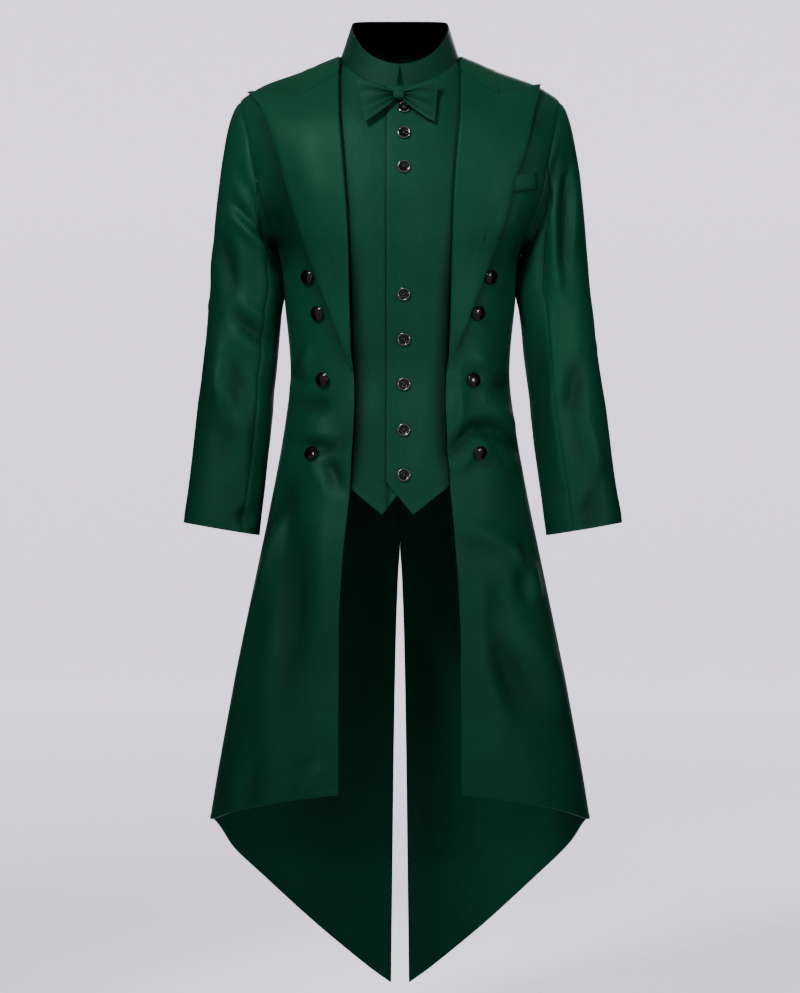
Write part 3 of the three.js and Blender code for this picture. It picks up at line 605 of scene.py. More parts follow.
COAT_CLOTH = suiting("green_suiting", "#031f14", "#04281a", 1.3, 0.01, 0.52)
VEST_CLOTH = suiting("green_suiting_waistcoat", "#031e14", "#05271a", 1.3, 0.01, 0.58)
LINING = suiting("dark_green_lining", "#011f13", "#022719", 1.0, 0.0, 0.7)
# Painted shade: the inside of the stand collar is near black and without shine, for the shade in
# the hollow of the neck.
NECK_LINING_PAINTED_SHADE = suiting("neck_lining_painted_black_shade", "#000100", "#010201", 1.0, 0.0, 0.8, 0.0)
print("cloth:", [m.name for m in (COAT_CLOTH, VEST_CLOTH, LINING, NECK_LINING_PAINTED_SHADE)])

# %% Cutting a piece of cloth
NEAR_EDGE = (1.2, 3.0, 6.0, 11.0)
SEAM_REACH = 3.2
RIM_ANGLE = math.radians(50)


def edge_lines(length_mm, step_mm, near=NEAR_EDGE, far=NEAR_EDGE):
    """Grid lines from 0 to 1 over a length, crowded at both ends."""
    count = max(2, round((length_mm - near[-1] - far[-1]) / step_mm))
    middle = [lerp(near[-1], length_mm - far[-1], i / count) for i in range(count + 1)]
    places = [0.0, *near[:-1], *middle, *[length_mm - d for d in reversed(far[:-1])], length_mm]
    return [place / length_mm for place in places]


def hem_lines(width):
    """Distances of grid lines that draw a hem of this width and its row of stitches."""
    return (1.2, 3.0, width - 3.0, width - 1.4, width - 0.5, width + 0.6, width + 1.6, width + 4.0)


def hem_band(away, width, rise=0.5, groove=0.5):
    """Height of a turned hem: the doubled cloth stands up and its stitches pull a groove."""
    band = rise * smooth_step(width + 1.0, width - 1.0, away)
    return band - groove * math.exp(-(((away - width) / 1.1) ** 2))


def cloth(name, surface, across, upward, outward, seams=(0, 0, 0, 0), wall=1.8, finish=COAT_CLOTH,
          inside=LINING, levels=1, extra=None, closed=False, rim=0.0, shade=None):
    """A piece of cloth from a surface of two parameters, in millimetres. seams gives how deep the
    cloth dips at its first and last column and its first and last row; extra adds a height from the
    distances to those four edges, and shade gives the painted shade, how much the colour is
    darkened at a point for folds and shadows."""
    columns, lines = len(across), len(upward)
    grid = [[surface(u, v) for u in across] for v in upward]
    along = [[0.0] * columns for _ in upward]
    height = [[0.0] * columns for _ in upward]
    for j in range(lines):
        for i in range(columns):
            if i:
                along[j][i] = along[j][i - 1] + (grid[j][i] - grid[j][i - 1]).length
            if j:
                height[j][i] = height[j - 1][i] + (grid[j][i] - grid[j - 1][i]).length
    normals = []
    for j in range(lines):
        for i in range(columns):
            run_u = grid[j][min(i + 1, columns - 1)] - grid[j][max(i - 1, 0)]
            run_v = grid[min(j + 1, lines - 1)][i] - grid[max(j - 1, 0)][i]
            normals.append(run_u.cross(run_v).normalized())
    middle = (lines // 2) * columns + columns // 2
    flip = normals[middle].dot(outward(grid[lines // 2][columns // 2])) < 0
    mesh = bmesh.new()
    layer = mesh.loops.layers.uv.new("cloth")
    bmesh.ops.create_grid(mesh, x_segments=columns - 1, y_segments=lines - 1, size=0.5)
    uvs = {}
    # Painted shade: each point keeps how much its colour is darkened for folds and shadows.
    dark = mesh.verts.layers.float.new("painted_shade")
    for vert in mesh.verts:
        i = round((vert.co.x + 0.5) * (columns - 1))
        j = round((vert.co.y + 0.5) * (lines - 1))
        normal = normals[j * columns + i] * (-1 if flip else 1)
        away = (along[j][i], along[j][-1] - along[j][i], height[j][i], height[-1][i] - height[j][i])
        dip = sum(depth * math.exp(-((d / SEAM_REACH) ** 2)) for depth, d in zip(seams, away))
        rise = extra(away) if extra else 0.0
        vert.co = (grid[j][i] + normal * (rise - dip)) * MM
        vert[dark] = clamp(shade(across[i], upward[j], grid[j][i])) if shade else 0.0
        uvs[vert] = (along[j][i] * MM, height[j][i] * MM)
    for face in mesh.faces:
        for loop in face.loops:
            loop[layer].uv = uvs[loop.vert]
    if flip:
        bmesh.ops.reverse_faces(mesh, faces=mesh.faces)
    if closed:
        bmesh.ops.remove_doubles(mesh, verts=mesh.verts, dist=0.01 * MM)
    widest = max(row[-1] for row in along)
    longest = max(height[-1])
    area = sum(face.calc_area() for face in mesh.faces)
    piece = finish_piece(name, mesh, [finish, inside])
    if levels:
        round_off = piece.modifiers.new("round", "SUBSURF")
        round_off.levels = round_off.render_levels = levels
    shell = piece.modifiers.new("wall", "SOLIDIFY")
    shell.thickness = wall * MM
    shell.offset = -1
    shell.material_offset = 1
    if rim:
        soften = piece.modifiers.new("soft_rim", "BEVEL")
        soften.width, soften.segments, soften.limit_method = rim * MM, 2, "ANGLE"
        soften.angle_limit = RIM_ANGLE
    print(f"{name}: {widest:.0f} x {longest:.0f} mm, {area:.4f} m2, {columns * lines} points")
    return piece


def finish_piece(name, mesh, materials, smooth=True):
    """Turns a bmesh into an object that shows these materials."""
    data = bpy.data.meshes.new(name)
    for face in mesh.faces:
        face.smooth = smooth
    mesh.to_mesh(data)
    mesh.free()
    for material in materials:
        data.materials.append(material)
    piece = bpy.data.objects.new(name, data)
    bpy.context.collection.objects.link(piece)
    return piece


def put_on_coat(piece, node=None):
    """Hangs a piece on the coat's root, and hides the solid it stands for, if one is named."""
    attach(piece, "root")
    if node:
        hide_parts(node)


def sew_on(piece, node):
    """Puts a cloth piece on the coat, in place of its solid."""
    put_on_coat(piece, node)


def out_of_body(point):
    return Vector((point.x, point.y, max(0, point.z + 120)))


# %% [markdown]
# ## Fronts and backs
# Each front hangs from the shoulder to the hem in one piece. The backs meet in a centre seam
# that opens below the waist into the vent between the tails. The side and shoulder seams pull
# the cloth in by about a millimetre.

# %% Painted shade of troughs and edges
LAPEL_EDGE = {
    1: rows("z x", (-77, 184.5), (-125, 174), (-169, 159.5), (-290, 122), (-400, 81), (-440, 68)),
    -1: rows("z x", (-87, 187), (-125, 173), (-207, 149.5), (-290, 122), (-400, 81), (-440, 68)),
}
TROUGH_DEPTH = {FRONT: 13, BACK: 26}
DARKEST_TROUGH = 0.4
LAPEL_SHADOW, LAPEL_SHADOW_WIDTH = 0.34, 15


def crease_shade(creases, point):
    """Painted shade in a trough: the colour is made darker where a crease dips, for the shade that
    falls there.
    """
    facing = FRONT if point.y < 0 else BACK
    depth = -crease_height(creases, facing, point.x, point.z)
    return min(DARKEST_TROUGH, depth / TROUGH_DEPTH[facing])


def front_shade(point):
    """Painted shade: troughs, and a painted shadow on the strip beside a lapel's edge."""
    past = abs(point.x) - read(LAPEL_EDGE[1 if point.x > 0 else -1], "z", "x", point.z)
    inside = smooth_step(-60, -100, point.z) * smooth_step(-450, -400, point.z)
    lapel = 0.0
    if past > -4 and point.y < 0:
        lapel = LAPEL_SHADOW * inside * math.exp(-((past / LAPEL_SHADOW_WIDTH) ** 2))
    return max(0.0, crease_shade(BODY_CREASES, point)) + lapel


print("shade beside a lapel:", round(front_shade(Vector((150, -100, -207))), 2))

# %% Fronts and backs
PANEL_HEM = 9.0
SKIRT_LENGTH, CHEST_LENGTH, PANEL_WIDTH = 760, 280, 260
FRONT_FLAT, FRONT_AREA = (0.31, 1.07), 0.19
BACK_FLAT, BACK_AREA = (0.36, 1.39), 0.32
for word, side in SIDES:
    for facing, kind, flat, area in (
        (FRONT, "front", FRONT_FLAT, FRONT_AREA), (BACK, "back", BACK_FLAT, BACK_AREA),
    ):
        upward = edge_lines(SKIRT_LENGTH, 8, near=hem_lines(PANEL_HEM), far=(8,))
        upward += [1 + v for v in edge_lines(CHEST_LENGTH, 8, near=(8,))[1:]]
        panel = cloth(
            f"cloth_{kind}_{word}", lambda u, v: panel_point(side, facing, u, v),
            edge_lines(PANEL_WIDTH, 6), upward, out_of_body,
            seams=(0.0 if facing == FRONT else 0.6, 0.9, 0.0, 0.7),
            extra=lambda away: hem_band(away[2], PANEL_HEM, 0.3, 0.35),
            # Painted shade of troughs and of the lapels' shadows.
            shade=lambda u, v, point: front_shade(point),
        )
        sew_on(panel, f"{kind}_{word}")

# %% [markdown]
# ## Sleeves
# A tailored sleeve is cut in two parts, a top sleeve and a narrower under sleeve. Both are
# made from one tube whose upper end follows the armhole, so the seams run down the inner
# front and the back of the arm, as on the real sleeve.

# %% Sleeves
ARM_STEP = math.pi / 10
FRONT_SEAM = {"left": 6, "right": 7}
BACK_SEAM = 14
UPPER_LENGTH, LOWER_LENGTH = 200, 370
ARMHOLE_TUCK = 2.2
SEAM_PULL = 0.2 / SLEEVE_RADIUS
SLEEVE_MIDDLE_X = 222


def sleeve_point(side, angle, v):
    """Angle 0 is the outer side, 90 degrees the front; v runs from the armhole (0) by the
    upper arm (1) to the cuff (2)."""
    angle = angle % (2 * math.pi)
    along, across = math.cos(angle), math.sin(angle)
    facing = FRONT if angle <= math.pi else BACK
    down = max(0.0, v - 1)
    mean_z = lerp(SLEEVE_TOP_Z, CUFF_Z, down)
    outer = read(SLEEVE, "z", "outer", mean_z)
    inner = read(SLEEVE, "z", "inner", mean_z)
    half_depth = read(SLEEVE, "z", "halfDepth", mean_z)
    point = Vector((
        (outer + inner) / 2 + side * SLEEVE_SWING * down + (outer - inner) / 2 * along,
        read(SLEEVE, "z", "middleY", mean_z) - half_depth * across,
        mean_z + CUFF_SLANT * along * down,
    ))
    if v < 1:
        t = 1 - angle / math.pi if facing == FRONT else angle / math.pi - 1
        arm_x, arm_z = armhole_place(facing, math.sin(clamp(t) * HALF_PI))
        start = body_at(1, facing, arm_x, min(arm_z, shoulder_top(arm_x)), 1.2)
        start.x -= ARMHOLE_TUCK
        # The cloth leaves the armhole outwards, most at the crown, and then hangs.
        crown = (1 + along) / 2
        reach = start.z - point.z
        leave = Vector((lerp(14, 80, crown), -14 * across, lerp(-0.5 * reach, -20, crown)))
        arrive = Vector((lerp(-4, 18, crown), 0, -0.9 * reach))
        point = Vector([hermite(*parts, v) for parts in zip(start, leave, point, arrive)])
    fold = fold_height(SLEEVE_FOLDS, side, facing, math.degrees(angle), point.z, SLEEVE_RADIUS)
    fold *= smooth_step(0, 0.35, v) * smooth_step(2, 1.9, v)
    fine = crease_height(SLEEVE_CREASES, facing, side * point.x, point.z)
    fine = fine * smooth_step(0, 0.25, abs(across)) + unevenness(side * point.x, point.y, point.z)
    move = fold + fine * smooth_step(0, 0.12, v) * smooth_step(2, 1.96, v)
    point.x += along * move
    point.y -= across * move
    point.x *= side
    return point


for word, side in SIDES:
    upward = edge_lines(UPPER_LENGTH, 6, far=(6,))
    upward += [1 + v for v in edge_lines(LOWER_LENGTH, 7, near=(7,))[1:]]
    front_seam = FRONT_SEAM[word]
    for kind, first, last, flat, area in (
        ("top_sleeve", BACK_SEAM - 20, front_seam, (0.27, 0.62), 0.13),
        ("under_sleeve", front_seam, BACK_SEAM, (0.16, 0.5), 0.06),
    ):
        start, end = first * ARM_STEP + SEAM_PULL, last * ARM_STEP - SEAM_PULL
        around = [lerp(start, end, u) for u in edge_lines((end - start) * SLEEVE_RADIUS, 5.5)]
        sleeve = cloth(
            f"cloth_{kind}_{word}", lambda a, v: sleeve_point(side, a, v), around, upward,
            lambda p: Vector((p.x - side * SLEEVE_MIDDLE_X, p.y, 0)), seams=(1.2, 1.2, 1.0, 0.0),
            # Painted shade in the sleeves' troughs.
            shade=lambda a, v, point: crease_shade(SLEEVE_CREASES, point),
        )
        sew_on(sleeve, f"{kind}_{word}")

# %% [markdown]
# ## Lapels and collar leaf
# The wide lapel is the front's own edge, turned back along the roll line and pressed soft. Its
# inner edge is rolled round the front's edge, its outer edge stands off a little, and its peak
# points up over the shoulder. The collar leaf runs round the nape between the gorge seams.

# %% Lapels
GORGE_INNER = (84.5, -26)
GORGE_OUTER = (136, -60)
GORGE_GAP = 1
ROLL_INSIDE = 1.8
ROLL_LINES = 7
ROLL_TURN = math.radians(118)
NOTCH_AT = 0.5
PEAK_X = {1: 192, -1: 208}
PEAK_BELOW_SHOULDER = 3
WALL = 2.0


def lapel_place(side, u, v):
    peak_x = PEAK_X[side]
    peak_z = shoulder_top(peak_x) - PEAK_BELOW_SHOULDER
    inner_x, inner_z = GORGE_INNER[0], GORGE_INNER[1] - GORGE_GAP
    notch_x, notch_z = GORGE_OUTER[0], GORGE_OUTER[1] - GORGE_GAP
    roll_z = lerp(LAPEL_FOOT_Z, inner_z, v)
    roll_x = panel_edge(FRONT, roll_z) + ROLL_INSIDE
    edge_z = lerp(LAPEL_FOOT_Z, peak_z, v)
    edge_x = read(LAPEL_EDGE[side], "z", "x", edge_z)
    edge_x = lerp(edge_x, peak_x, smooth_step(-85, peak_z, edge_z))
    if u < NOTCH_AT:
        top_x, top_z = lerp(inner_x, notch_x, u / NOTCH_AT), lerp(inner_z, notch_z, u / NOTCH_AT)
    else:
        part = (u - NOTCH_AT) / (1 - NOTCH_AT)
        top_x, top_z = lerp(notch_x, peak_x, part), lerp(notch_z, peak_z, part)
    bend = v**5
    x = lerp(roll_x, edge_x, u) + (top_x - lerp(inner_x, peak_x, u)) * bend
    z = lerp(roll_z, edge_z, u) + (top_z - lerp(inner_z, peak_z, u)) * bend
    return x, min(z, shoulder_top(x))


def lapel_lift(u, v):
    tip = smooth_step(0.8, 1, v) * smooth_step(0.55, 1, u)
    rise = smooth_step(0, 0.14, v)
    return 0.3 + (0.7 + 1.4 * u + WALL) * rise + 4 * tip


def lifted(surface, u, v, lift, roll=None, step=1e-3):
    """A point of a surface moved out along its normal. With a roll, an angle, it goes round
    the surface's first column as cloth does at a fold, bulging by the roll's own size."""
    here = surface(u, v)
    low_u, high_u = max(0.0, u - step), min(1.0, u + step)
    low_v, high_v = max(0.0, v - step), min(0.985, v + step)
    if low_v >= high_v:
        low_v = high_v - step
    normal = (surface(high_u, v) - surface(low_u, v)).cross(surface(u, high_v) - surface(u, low_v))
    normal.normalize()
    if normal.dot(out_of_body(here)) < 0:
        normal.negate()
    if roll is None:
        return here + normal * lift
    angle, bulge = roll
    inward = (here - surface(u + 0.02, v)).normalized()
    return here + normal * lift * math.cos(angle) + inward * bulge * math.sin(angle)


def lapel_point(side, u, v):
    """u below 0 goes round the roll, 0 to 1 across the lapel."""
    def flat(a, b):
        x, z = lapel_place(side, a, b)
        return body_at(side, FRONT, x, z)

    size = lerp(0.35, 1.0, smooth_step(0, 0.1, v))
    if u < 0:
        lift = lapel_lift(0, v)
        return lifted(flat, 0, v, lift, roll=(-u * ROLL_TURN, lift * size))
    return lifted(flat, u, v, lapel_lift(u, v))


roll_lines = [-1 + i / ROLL_LINES for i in range(ROLL_LINES)]
for word, side in SIDES:
    lapel = cloth(
        f"cloth_lapel_{word}", lambda u, v: lapel_point(side, u, v),
        roll_lines + edge_lines(130, 6), edge_lines(400, 8), out_of_body, seams=(0, 0.7, 0, 0.7),
        rim=0.5,
    )
    sew_on(lapel, f"lapel_{word}")

# %% Collar leaf
LEAF_OUTER_X = 136
LEAF_BACK_Y = 91
NECK_BACK_Y = 66
LEAF_CLEARANCE = 2.5
LEAF_SHOULDER_AT = 0.7
LEAF_BULGE = 2.0


def back_in_plan(side, x, y):
    """A point of the upper back by its place seen from above."""
    z = shoulder_top(x) - 5
    for _ in range(4):
        depth = read(BODY, "z", "back", z) * math.cos(ring_angle(x, z)) ** (2 / RING_POWER)
        fade = min(0.985, y / depth)
        z = shoulder_top(x) - ROUNDING[BACK] * (1 - math.sqrt(1 - fade * fade))
    return body_at(side, BACK, x, z)


def leaf_point(q, w):
    side = -1 if q < 0 else 1
    part = abs(q)
    inner_x = NECK_HALF_WIDTH + LEAF_CLEARANCE
    if part <= LEAF_SHOULDER_AT:
        angle = HALF_PI * part / LEAF_SHOULDER_AT
        x = lerp(inner_x, LEAF_OUTER_X, w) * math.sin(angle)
        y = lerp(NECK_BACK_Y + LEAF_CLEARANCE, LEAF_BACK_Y, w) * math.cos(angle)
        return back_in_plan(side, x, y)
    eased = ((part - LEAF_SHOULDER_AT) / (1 - LEAF_SHOULDER_AT)) ** 1.6
    inner_z = lerp(shoulder_top(GORGE_INNER[0]), GORGE_INNER[1], eased)
    outer_z = lerp(shoulder_top(LEAF_OUTER_X), GORGE_OUTER[1], eased)
    x = lerp(inner_x, LEAF_OUTER_X, w)
    return body_at(side, FRONT, x, min(lerp(inner_z, outer_z, w), shoulder_top(x)))


def leaf_outer(w, q):
    """w below 0 goes round the fold at the neck, 0 to 1 out to the leaf's edge."""
    if w < 0:
        roll = (-w * ROLL_TURN, LEAF_BULGE)
        return lifted(lambda a, b: leaf_point(2 * b - 1, a), 0, q, 1.0 + WALL, roll=roll)
    thin = 2.7 * smooth_step(0.3, 1, w) * smooth_step(1, 0.9, abs(2 * q - 1))
    return lifted(lambda a, b: leaf_point(2 * b - 1, a), w, q, 1.0 + 0.7 * w + WALL - thin)


leaf = cloth(
    "cloth_coat_collar", leaf_outer, roll_lines + edge_lines(52, 5), edge_lines(420, 7),
    out_of_body, seams=(0, 0.7, 0.5, 0.5), rim=0.5,
)
sew_on(leaf, "coat_collar")

# %% [markdown]
# ## Waistcoat front
# Two panels overlap at a buttoned placket. They lie just inside the coat's edges and are pulled in
# behind them at the waist, where the coat throws its shadow; that shadow is also painted into their
# colour. The hem is cut in two points and turned up.

# %% Waistcoat front
VEST_OPEN_INSET = 1.2
VEST_COVERED_INSET = 5.2
VEST_WAIST_INSET = 6
VEST_OVERLAP_INSET = 3.4
VEST_HEM = 11.0
OVER_HEM = rows("x z", (-18.5, -594), (-4, -612), (17.8, -639), (65.7, -601), (112, -566))
UNDER_HEM = rows("x z", (-112, -572), (-72.5, -601), (-24.6, -639), (-4, -612), (14, -590))


def vest_inset(x, z):
    covered = smooth_step(56, 84, abs(x))
    waist = math.exp(-(((z + 440) / 120) ** 2))
    return lerp(VEST_OPEN_INSET, VEST_COVERED_INSET, covered) + VEST_WAIST_INSET * waist * covered


def vest_point(hem, extra_inset, u, v):
    x = lerp(hem[0]["x"], hem[-1]["x"], u)
    away, side = abs(x), -1 if x < 0 else 1
    across = math.sqrt(max(0.0, 1 - (away / NECK_HALF_WIDTH) ** 2))
    top = shoulder_top(away)
    if away < NECK_HALF_WIDTH:
        top = min(NECK_SIDE_Z - NECK_FRONT_DROP * across**NECK_FRONT_POWER, top)
    rise = lerp(v, math.sin(v * HALF_PI), 0.7)
    z = lerp(read_corners(hem, "x", "z", x), top - 0.5, rise)
    return body_at(side, FRONT, away, z, vest_inset(x, z) + extra_inset)


def vest_shade(kind, point):
    """Painted shadow: the coat's edges lie over the waistcoat, most at the waist, and the colour is
    darkened beside them as if they kept the light off it. A painted shadow also lies beside the
    placket's edge on the lower panel."""
    inside = max(0.0, panel_edge(FRONT, point.z) - abs(point.x))
    waist = smooth_step(-220, -360, point.z) * smooth_step(-640, -520, point.z)
    coat = lerp(0.35, 0.85, waist) * smooth_step(lerp(10, 26, waist), 2, inside)
    placket_line = OVER_HEM[0]["x"] - point.x
    under = 0.7 * math.exp(-((placket_line / 3) ** 2)) if kind == "under" else 0.0
    return max(coat, under)


for kind, hem, inset in (("over", OVER_HEM, 0.0), ("under", UNDER_HEM, VEST_OVERLAP_INSET)):
    span = hem[-1]["x"] - hem[0]["x"]
    across = []
    for first, last in zip(hem, hem[1:]):
        start, width = (first["x"] - hem[0]["x"]) / span, last["x"] - first["x"]
        lines = edge_lines(width, 6, near=(0.8,), far=(0.8,))
        across += [start + t * width / span for t in lines[:-1]]
    across.append(1.0)
    panel = cloth(
        f"cloth_vest_front_{kind}", lambda u, v: vest_point(hem, inset, u, v),
        across, edge_lines(590, 10, near=hem_lines(VEST_HEM)), out_of_body, finish=VEST_CLOTH,
        seams=(1.0 if kind == "over" else 0, 0, 0, 0),
        extra=lambda away: hem_band(away[2], VEST_HEM, 0.6, 0.5), rim=0.4,
        shade=lambda u, v, point: vest_shade(kind, point),
    )
    sew_on(panel, f"vest_front_{kind}")

# %% [markdown]
# ## Stand collar
# The tall collar is cut as a band that leans inwards. It meets in front at the top and parts below
# in a small keyhole; its upper edge falls from the nape to the throat. It is stiffened, and a flat
# painted shade makes it a little darker than the cloth below it.

# %% Stand collar
TOP_HALF_WIDTH = 68
TOP_FRONT_Y = -74
TOP_BACK_Y = 63
TOP_SIDE_Z = 40
TOP_FRONT_DROP = 57
TOP_BACK_RISE = 19
KEYHOLE_HALF_WIDTH = 5.5
COLLAR_FOOT_TUCK = 2.5
# Painted shade: the whole collar's colour is darkened by this share.
COLLAR_PAINTED_SHADE = 0.3


def neck_point(angle):
    x = NECK_HALF_WIDTH * abs(math.sin(angle))
    forward = math.cos(angle)
    side = -1 if math.sin(angle) < 0 else 1
    if forward > 0:
        z = NECK_SIDE_Z - NECK_FRONT_DROP * forward**NECK_FRONT_POWER
        inset = vest_inset(x, z) * smooth_step(0, 0.35, forward)
        return body_at(side, FRONT, x, min(z, shoulder_top(x)), inset)
    return body_at(side, BACK, x, lerp(NECK_SIDE_Z, NAPE_Z, -forward))


def collar_point(u, w):
    start = math.asin(lerp(KEYHOLE_HALF_WIDTH, 0.2, w) / NECK_HALF_WIDTH)
    angle = lerp(start, 2 * math.pi - start, u)
    forward = math.cos(angle)
    foot = neck_point(angle)
    foot.z -= COLLAR_FOOT_TUCK
    if forward > 0:
        rise, depth = -TOP_FRONT_DROP * forward**1.3, TOP_FRONT_Y
    else:
        rise, depth = TOP_BACK_RISE * (-forward) ** 0.4, -TOP_BACK_Y
    top = Vector((TOP_HALF_WIDTH * math.sin(angle), depth * forward, TOP_SIDE_Z + rise))
    return foot.lerp(top, w)


collar = cloth(
    "cloth_stand_collar", collar_point, edge_lines(480, 7), edge_lines(48, 5),
    lambda p: Vector((p.x, p.y, 0)), finish=VEST_CLOTH, inside=NECK_LINING_PAINTED_SHADE, rim=0.5,
    shade=lambda u, w, point: COLLAR_PAINTED_SHADE,
)
sew_on(collar, "stand_collar")

# %% [markdown]
# ## Breast pocket welt
# The welt is a folded strip, sewn down at its ends and its foot. Its upper edge stays free,
# which is where the picture shows a thin dark line.

# %% Breast pocket welt
WELT_CORNERS = ((152, -197), (188, -192), (186, -168), (154, -173.5))
WELT_EDGE = (1, 2.5)


def welt_point(u, v):
    low_in, low_out, high_out, high_in = WELT_CORNERS
    x = lerp(lerp(low_in[0], low_out[0], u), lerp(high_in[0], high_out[0], u), v)
    z = lerp(lerp(low_in[1], low_out[1], u), lerp(high_in[1], high_out[1], u), v)
    return body_at(1, FRONT, x, z)


def welt_shade(u, v, point):
    """Painted shadow: a thin painted shadow on the seams at its foot and at its outer end."""
    return 0.7 * max(math.exp(-((v / 0.09) ** 2)), math.exp(-(((1 - u) / 0.07) ** 2)))


welt = cloth(
    "cloth_breast_welt", lambda u, v: lifted(welt_point, u, v, 2.4 + 0.8 * v),
    *(edge_lines(size, 4, near=WELT_EDGE, far=WELT_EDGE) for size in (36, 24)), out_of_body,
    seams=(1.1, 1.1, 1.1, 0), wall=1.4, inside=COAT_CLOTH, rim=0.4, shade=welt_shade,
)
sew_on(welt, "breast_welt")

# %% [markdown]
# ## Bow tie
# Each wing is a doubled strip, gathered at the knot so that three pleats fan out of it and
# fade towards the tip. The knot is a short band wrapped round the middle.

# %% Bow tie
BOW_Z = -62
BOW_TIP_X = {1: 52.2, -1: 51.6}
BOW_ROOT_X = 4.6
BOW_SHIFT = -2
BOW_LEAN = {1: 2.7, -1: 5.3}
BOW_DROOP = 9
BOW_HEIGHT = rows(
    "x up down",
    (5, 5, 6), (13, 9, 14), (21, 13.5, 19.5), (40, 23, 28.5), (57, 29.5, 30),
)
BOW_STAND_OFF = 8
BOW_PLEATS = rows("v fan depth", (-0.56, -0.1, 3.6), (-0.1, 0.02, 4.0), (0.4, 0.12, 3.8))
BOW_PUFF = 4.0
BOW_EDGE = (1.2, 3)
KNOT_HALF_WIDTH = 7.6
KNOT_HALF_HEIGHT = 7
KNOT_HALF_DEPTH = 7.5
KNOT_OUT = 14.5
KNOT_ROUNDNESS = 0.75


def pleat_depth(u, v):
    depth = 0.0
    for pleat in BOW_PLEATS:
        away = (v - pleat["v"] - pleat["fan"] * u) / (0.13 + 0.11 * u)
        depth += pleat["depth"] * (1 - u) ** 0.6 * math.exp(-away * away)
    return depth


def bow_point(side, u, v):
    x = lerp(BOW_ROOT_X, BOW_TIP_X[side] + BOW_LEAN[side] * v, u)
    half = read(BOW_HEIGHT, "x", "up" if v > 0 else "down", x)
    z = BOW_Z - BOW_DROOP * u * u + half * v
    y = body_at(1, FRONT, abs(x), min(z, BOW_Z)).y - BOW_STAND_OFF
    puff = BOW_PUFF * math.sin(math.pi * (0.12 + 0.8 * u)) * (1 - v**4) - pleat_depth(u, v)
    return Vector((side * x + BOW_SHIFT, y - puff, z))


def out_front(point):
    return Vector((0, -1, 0))


for word, side in SIDES:
    wing = cloth(
        f"cloth_bow_wing_{word}", lambda u, v: bow_point(side, u, 2 * v - 1),
        edge_lines(54, 2.2, BOW_EDGE, BOW_EDGE), edge_lines(50, 1.5, BOW_EDGE, BOW_EDGE),
        out_front, wall=3.0, finish=VEST_CLOTH, inside=VEST_CLOTH, rim=1.0,
        # Painted shade: darker in the pleats and towards the knot.
        shade=lambda u, v, point: 0.16 * pleat_depth(u, 2 * v - 1) + 0.3 * smooth_step(0.2, 0, u),
    )
    sew_on(wing, f"bow_wing_{word}")


def squared_off(value):
    return math.copysign(abs(value) ** KNOT_ROUNDNESS, value)


def knot_point(u, v):
    """u runs across the knot, v once round it."""
    angle = 2 * math.pi * v
    pinch = 1 - 0.16 * (2 * u - 1) ** 2 - 0.05 * math.cos(math.pi * 6 * u)
    round_y, round_z = squared_off(math.cos(angle)), squared_off(math.sin(angle))
    front = body_at(1, FRONT, 0, BOW_Z).y
    return Vector((
        KNOT_HALF_WIDTH * (2 * u - 1) + BOW_SHIFT,
        front - KNOT_OUT + KNOT_HALF_DEPTH * (1 - pinch * round_y),
        BOW_Z + KNOT_HALF_HEIGHT * pinch * round_z,
    ))


knot = cloth(
    "cloth_bow_knot", knot_point, [i / 12 for i in range(13)], [i / 28 for i in range(29)],
    lambda p: Vector((0, p.y - body_at(1, FRONT, 0, BOW_Z).y, p.z - BOW_Z)), wall=1.2,
    finish=VEST_CLOTH, inside=VEST_CLOTH, closed=True, rim=0.5,
)
sew_on(knot, "bow_knot")

# %% [markdown]
# ## Buttons
# The coat's buttons are domed, with a shank, cast in black resin and polished. The front's
# buttons are flatter, with a raised rim and four holes through which crossed threads hold
# them. Both are turned: a profile is spun round the axis.

# %% Button finish
RESIN_GRAIN = 2600.0


def cast_resin(name, smoothest, roughest, shine, colour, speckle=None):
    """Black resin, cast and polished: small hard highlights, broken a little by fine wear."""
    material = new_material(name)
    space = add_node(material, "ShaderNodeTexCoord").outputs["Object"]
    grain = add_node(
        material, "ShaderNodeTexNoise", [("Vector", space)], Scale=RESIN_GRAIN, Detail=2.0,
    )
    wear = add_node(
        material, "ShaderNodeMapRange", [("Value", grain.outputs[0])],
        To_Min=smoothest, To_Max=roughest,
    )
    gloss = add_node(
        material, "ShaderNodeBsdfPrincipled", [("Roughness", wear.outputs[0])],
        Base_Color=linear(colour), IOR=1.5, Specular_IOR_Level=shine,
    )
    if speckle:
        shade = add_node(material, "ShaderNodeValToRGB", [("Fac", grain.outputs[0])])
        for stop, hex_colour in zip(shade.color_ramp.elements, (colour, speckle)):
            stop.color = linear(hex_colour)
        material.node_tree.links.new(gloss.inputs["Base Color"], shade.outputs[0])
    add_node(material, "ShaderNodeOutputMaterial", [("Surface", gloss.outputs[0])])
    return material


polish = cast_resin("polished_black_resin", 0.12, 0.18, 0.12, "#020102", "#060405")
# The rim's resin is shinier, and its lighter colour is a painted glint.
rim_polish_and_painted_glint = cast_resin("polished_black_rim_painted_glint", 0.1, 0.2, 0.8, "#0c0b0d")
print("buttons of", polish.name, "with a", rim_polish_and_painted_glint.name)

# %% Turning buttons


def arc(middle, radii, first, last, steps):
    """Points on an ellipse between two angles in degrees."""
    (x, z), (across, up) = middle, radii
    angles = [math.radians(lerp(first, last, i / steps)) for i in range(steps + 1)]
    return [(x + across * math.cos(a), z + up * math.sin(a)) for a in angles]


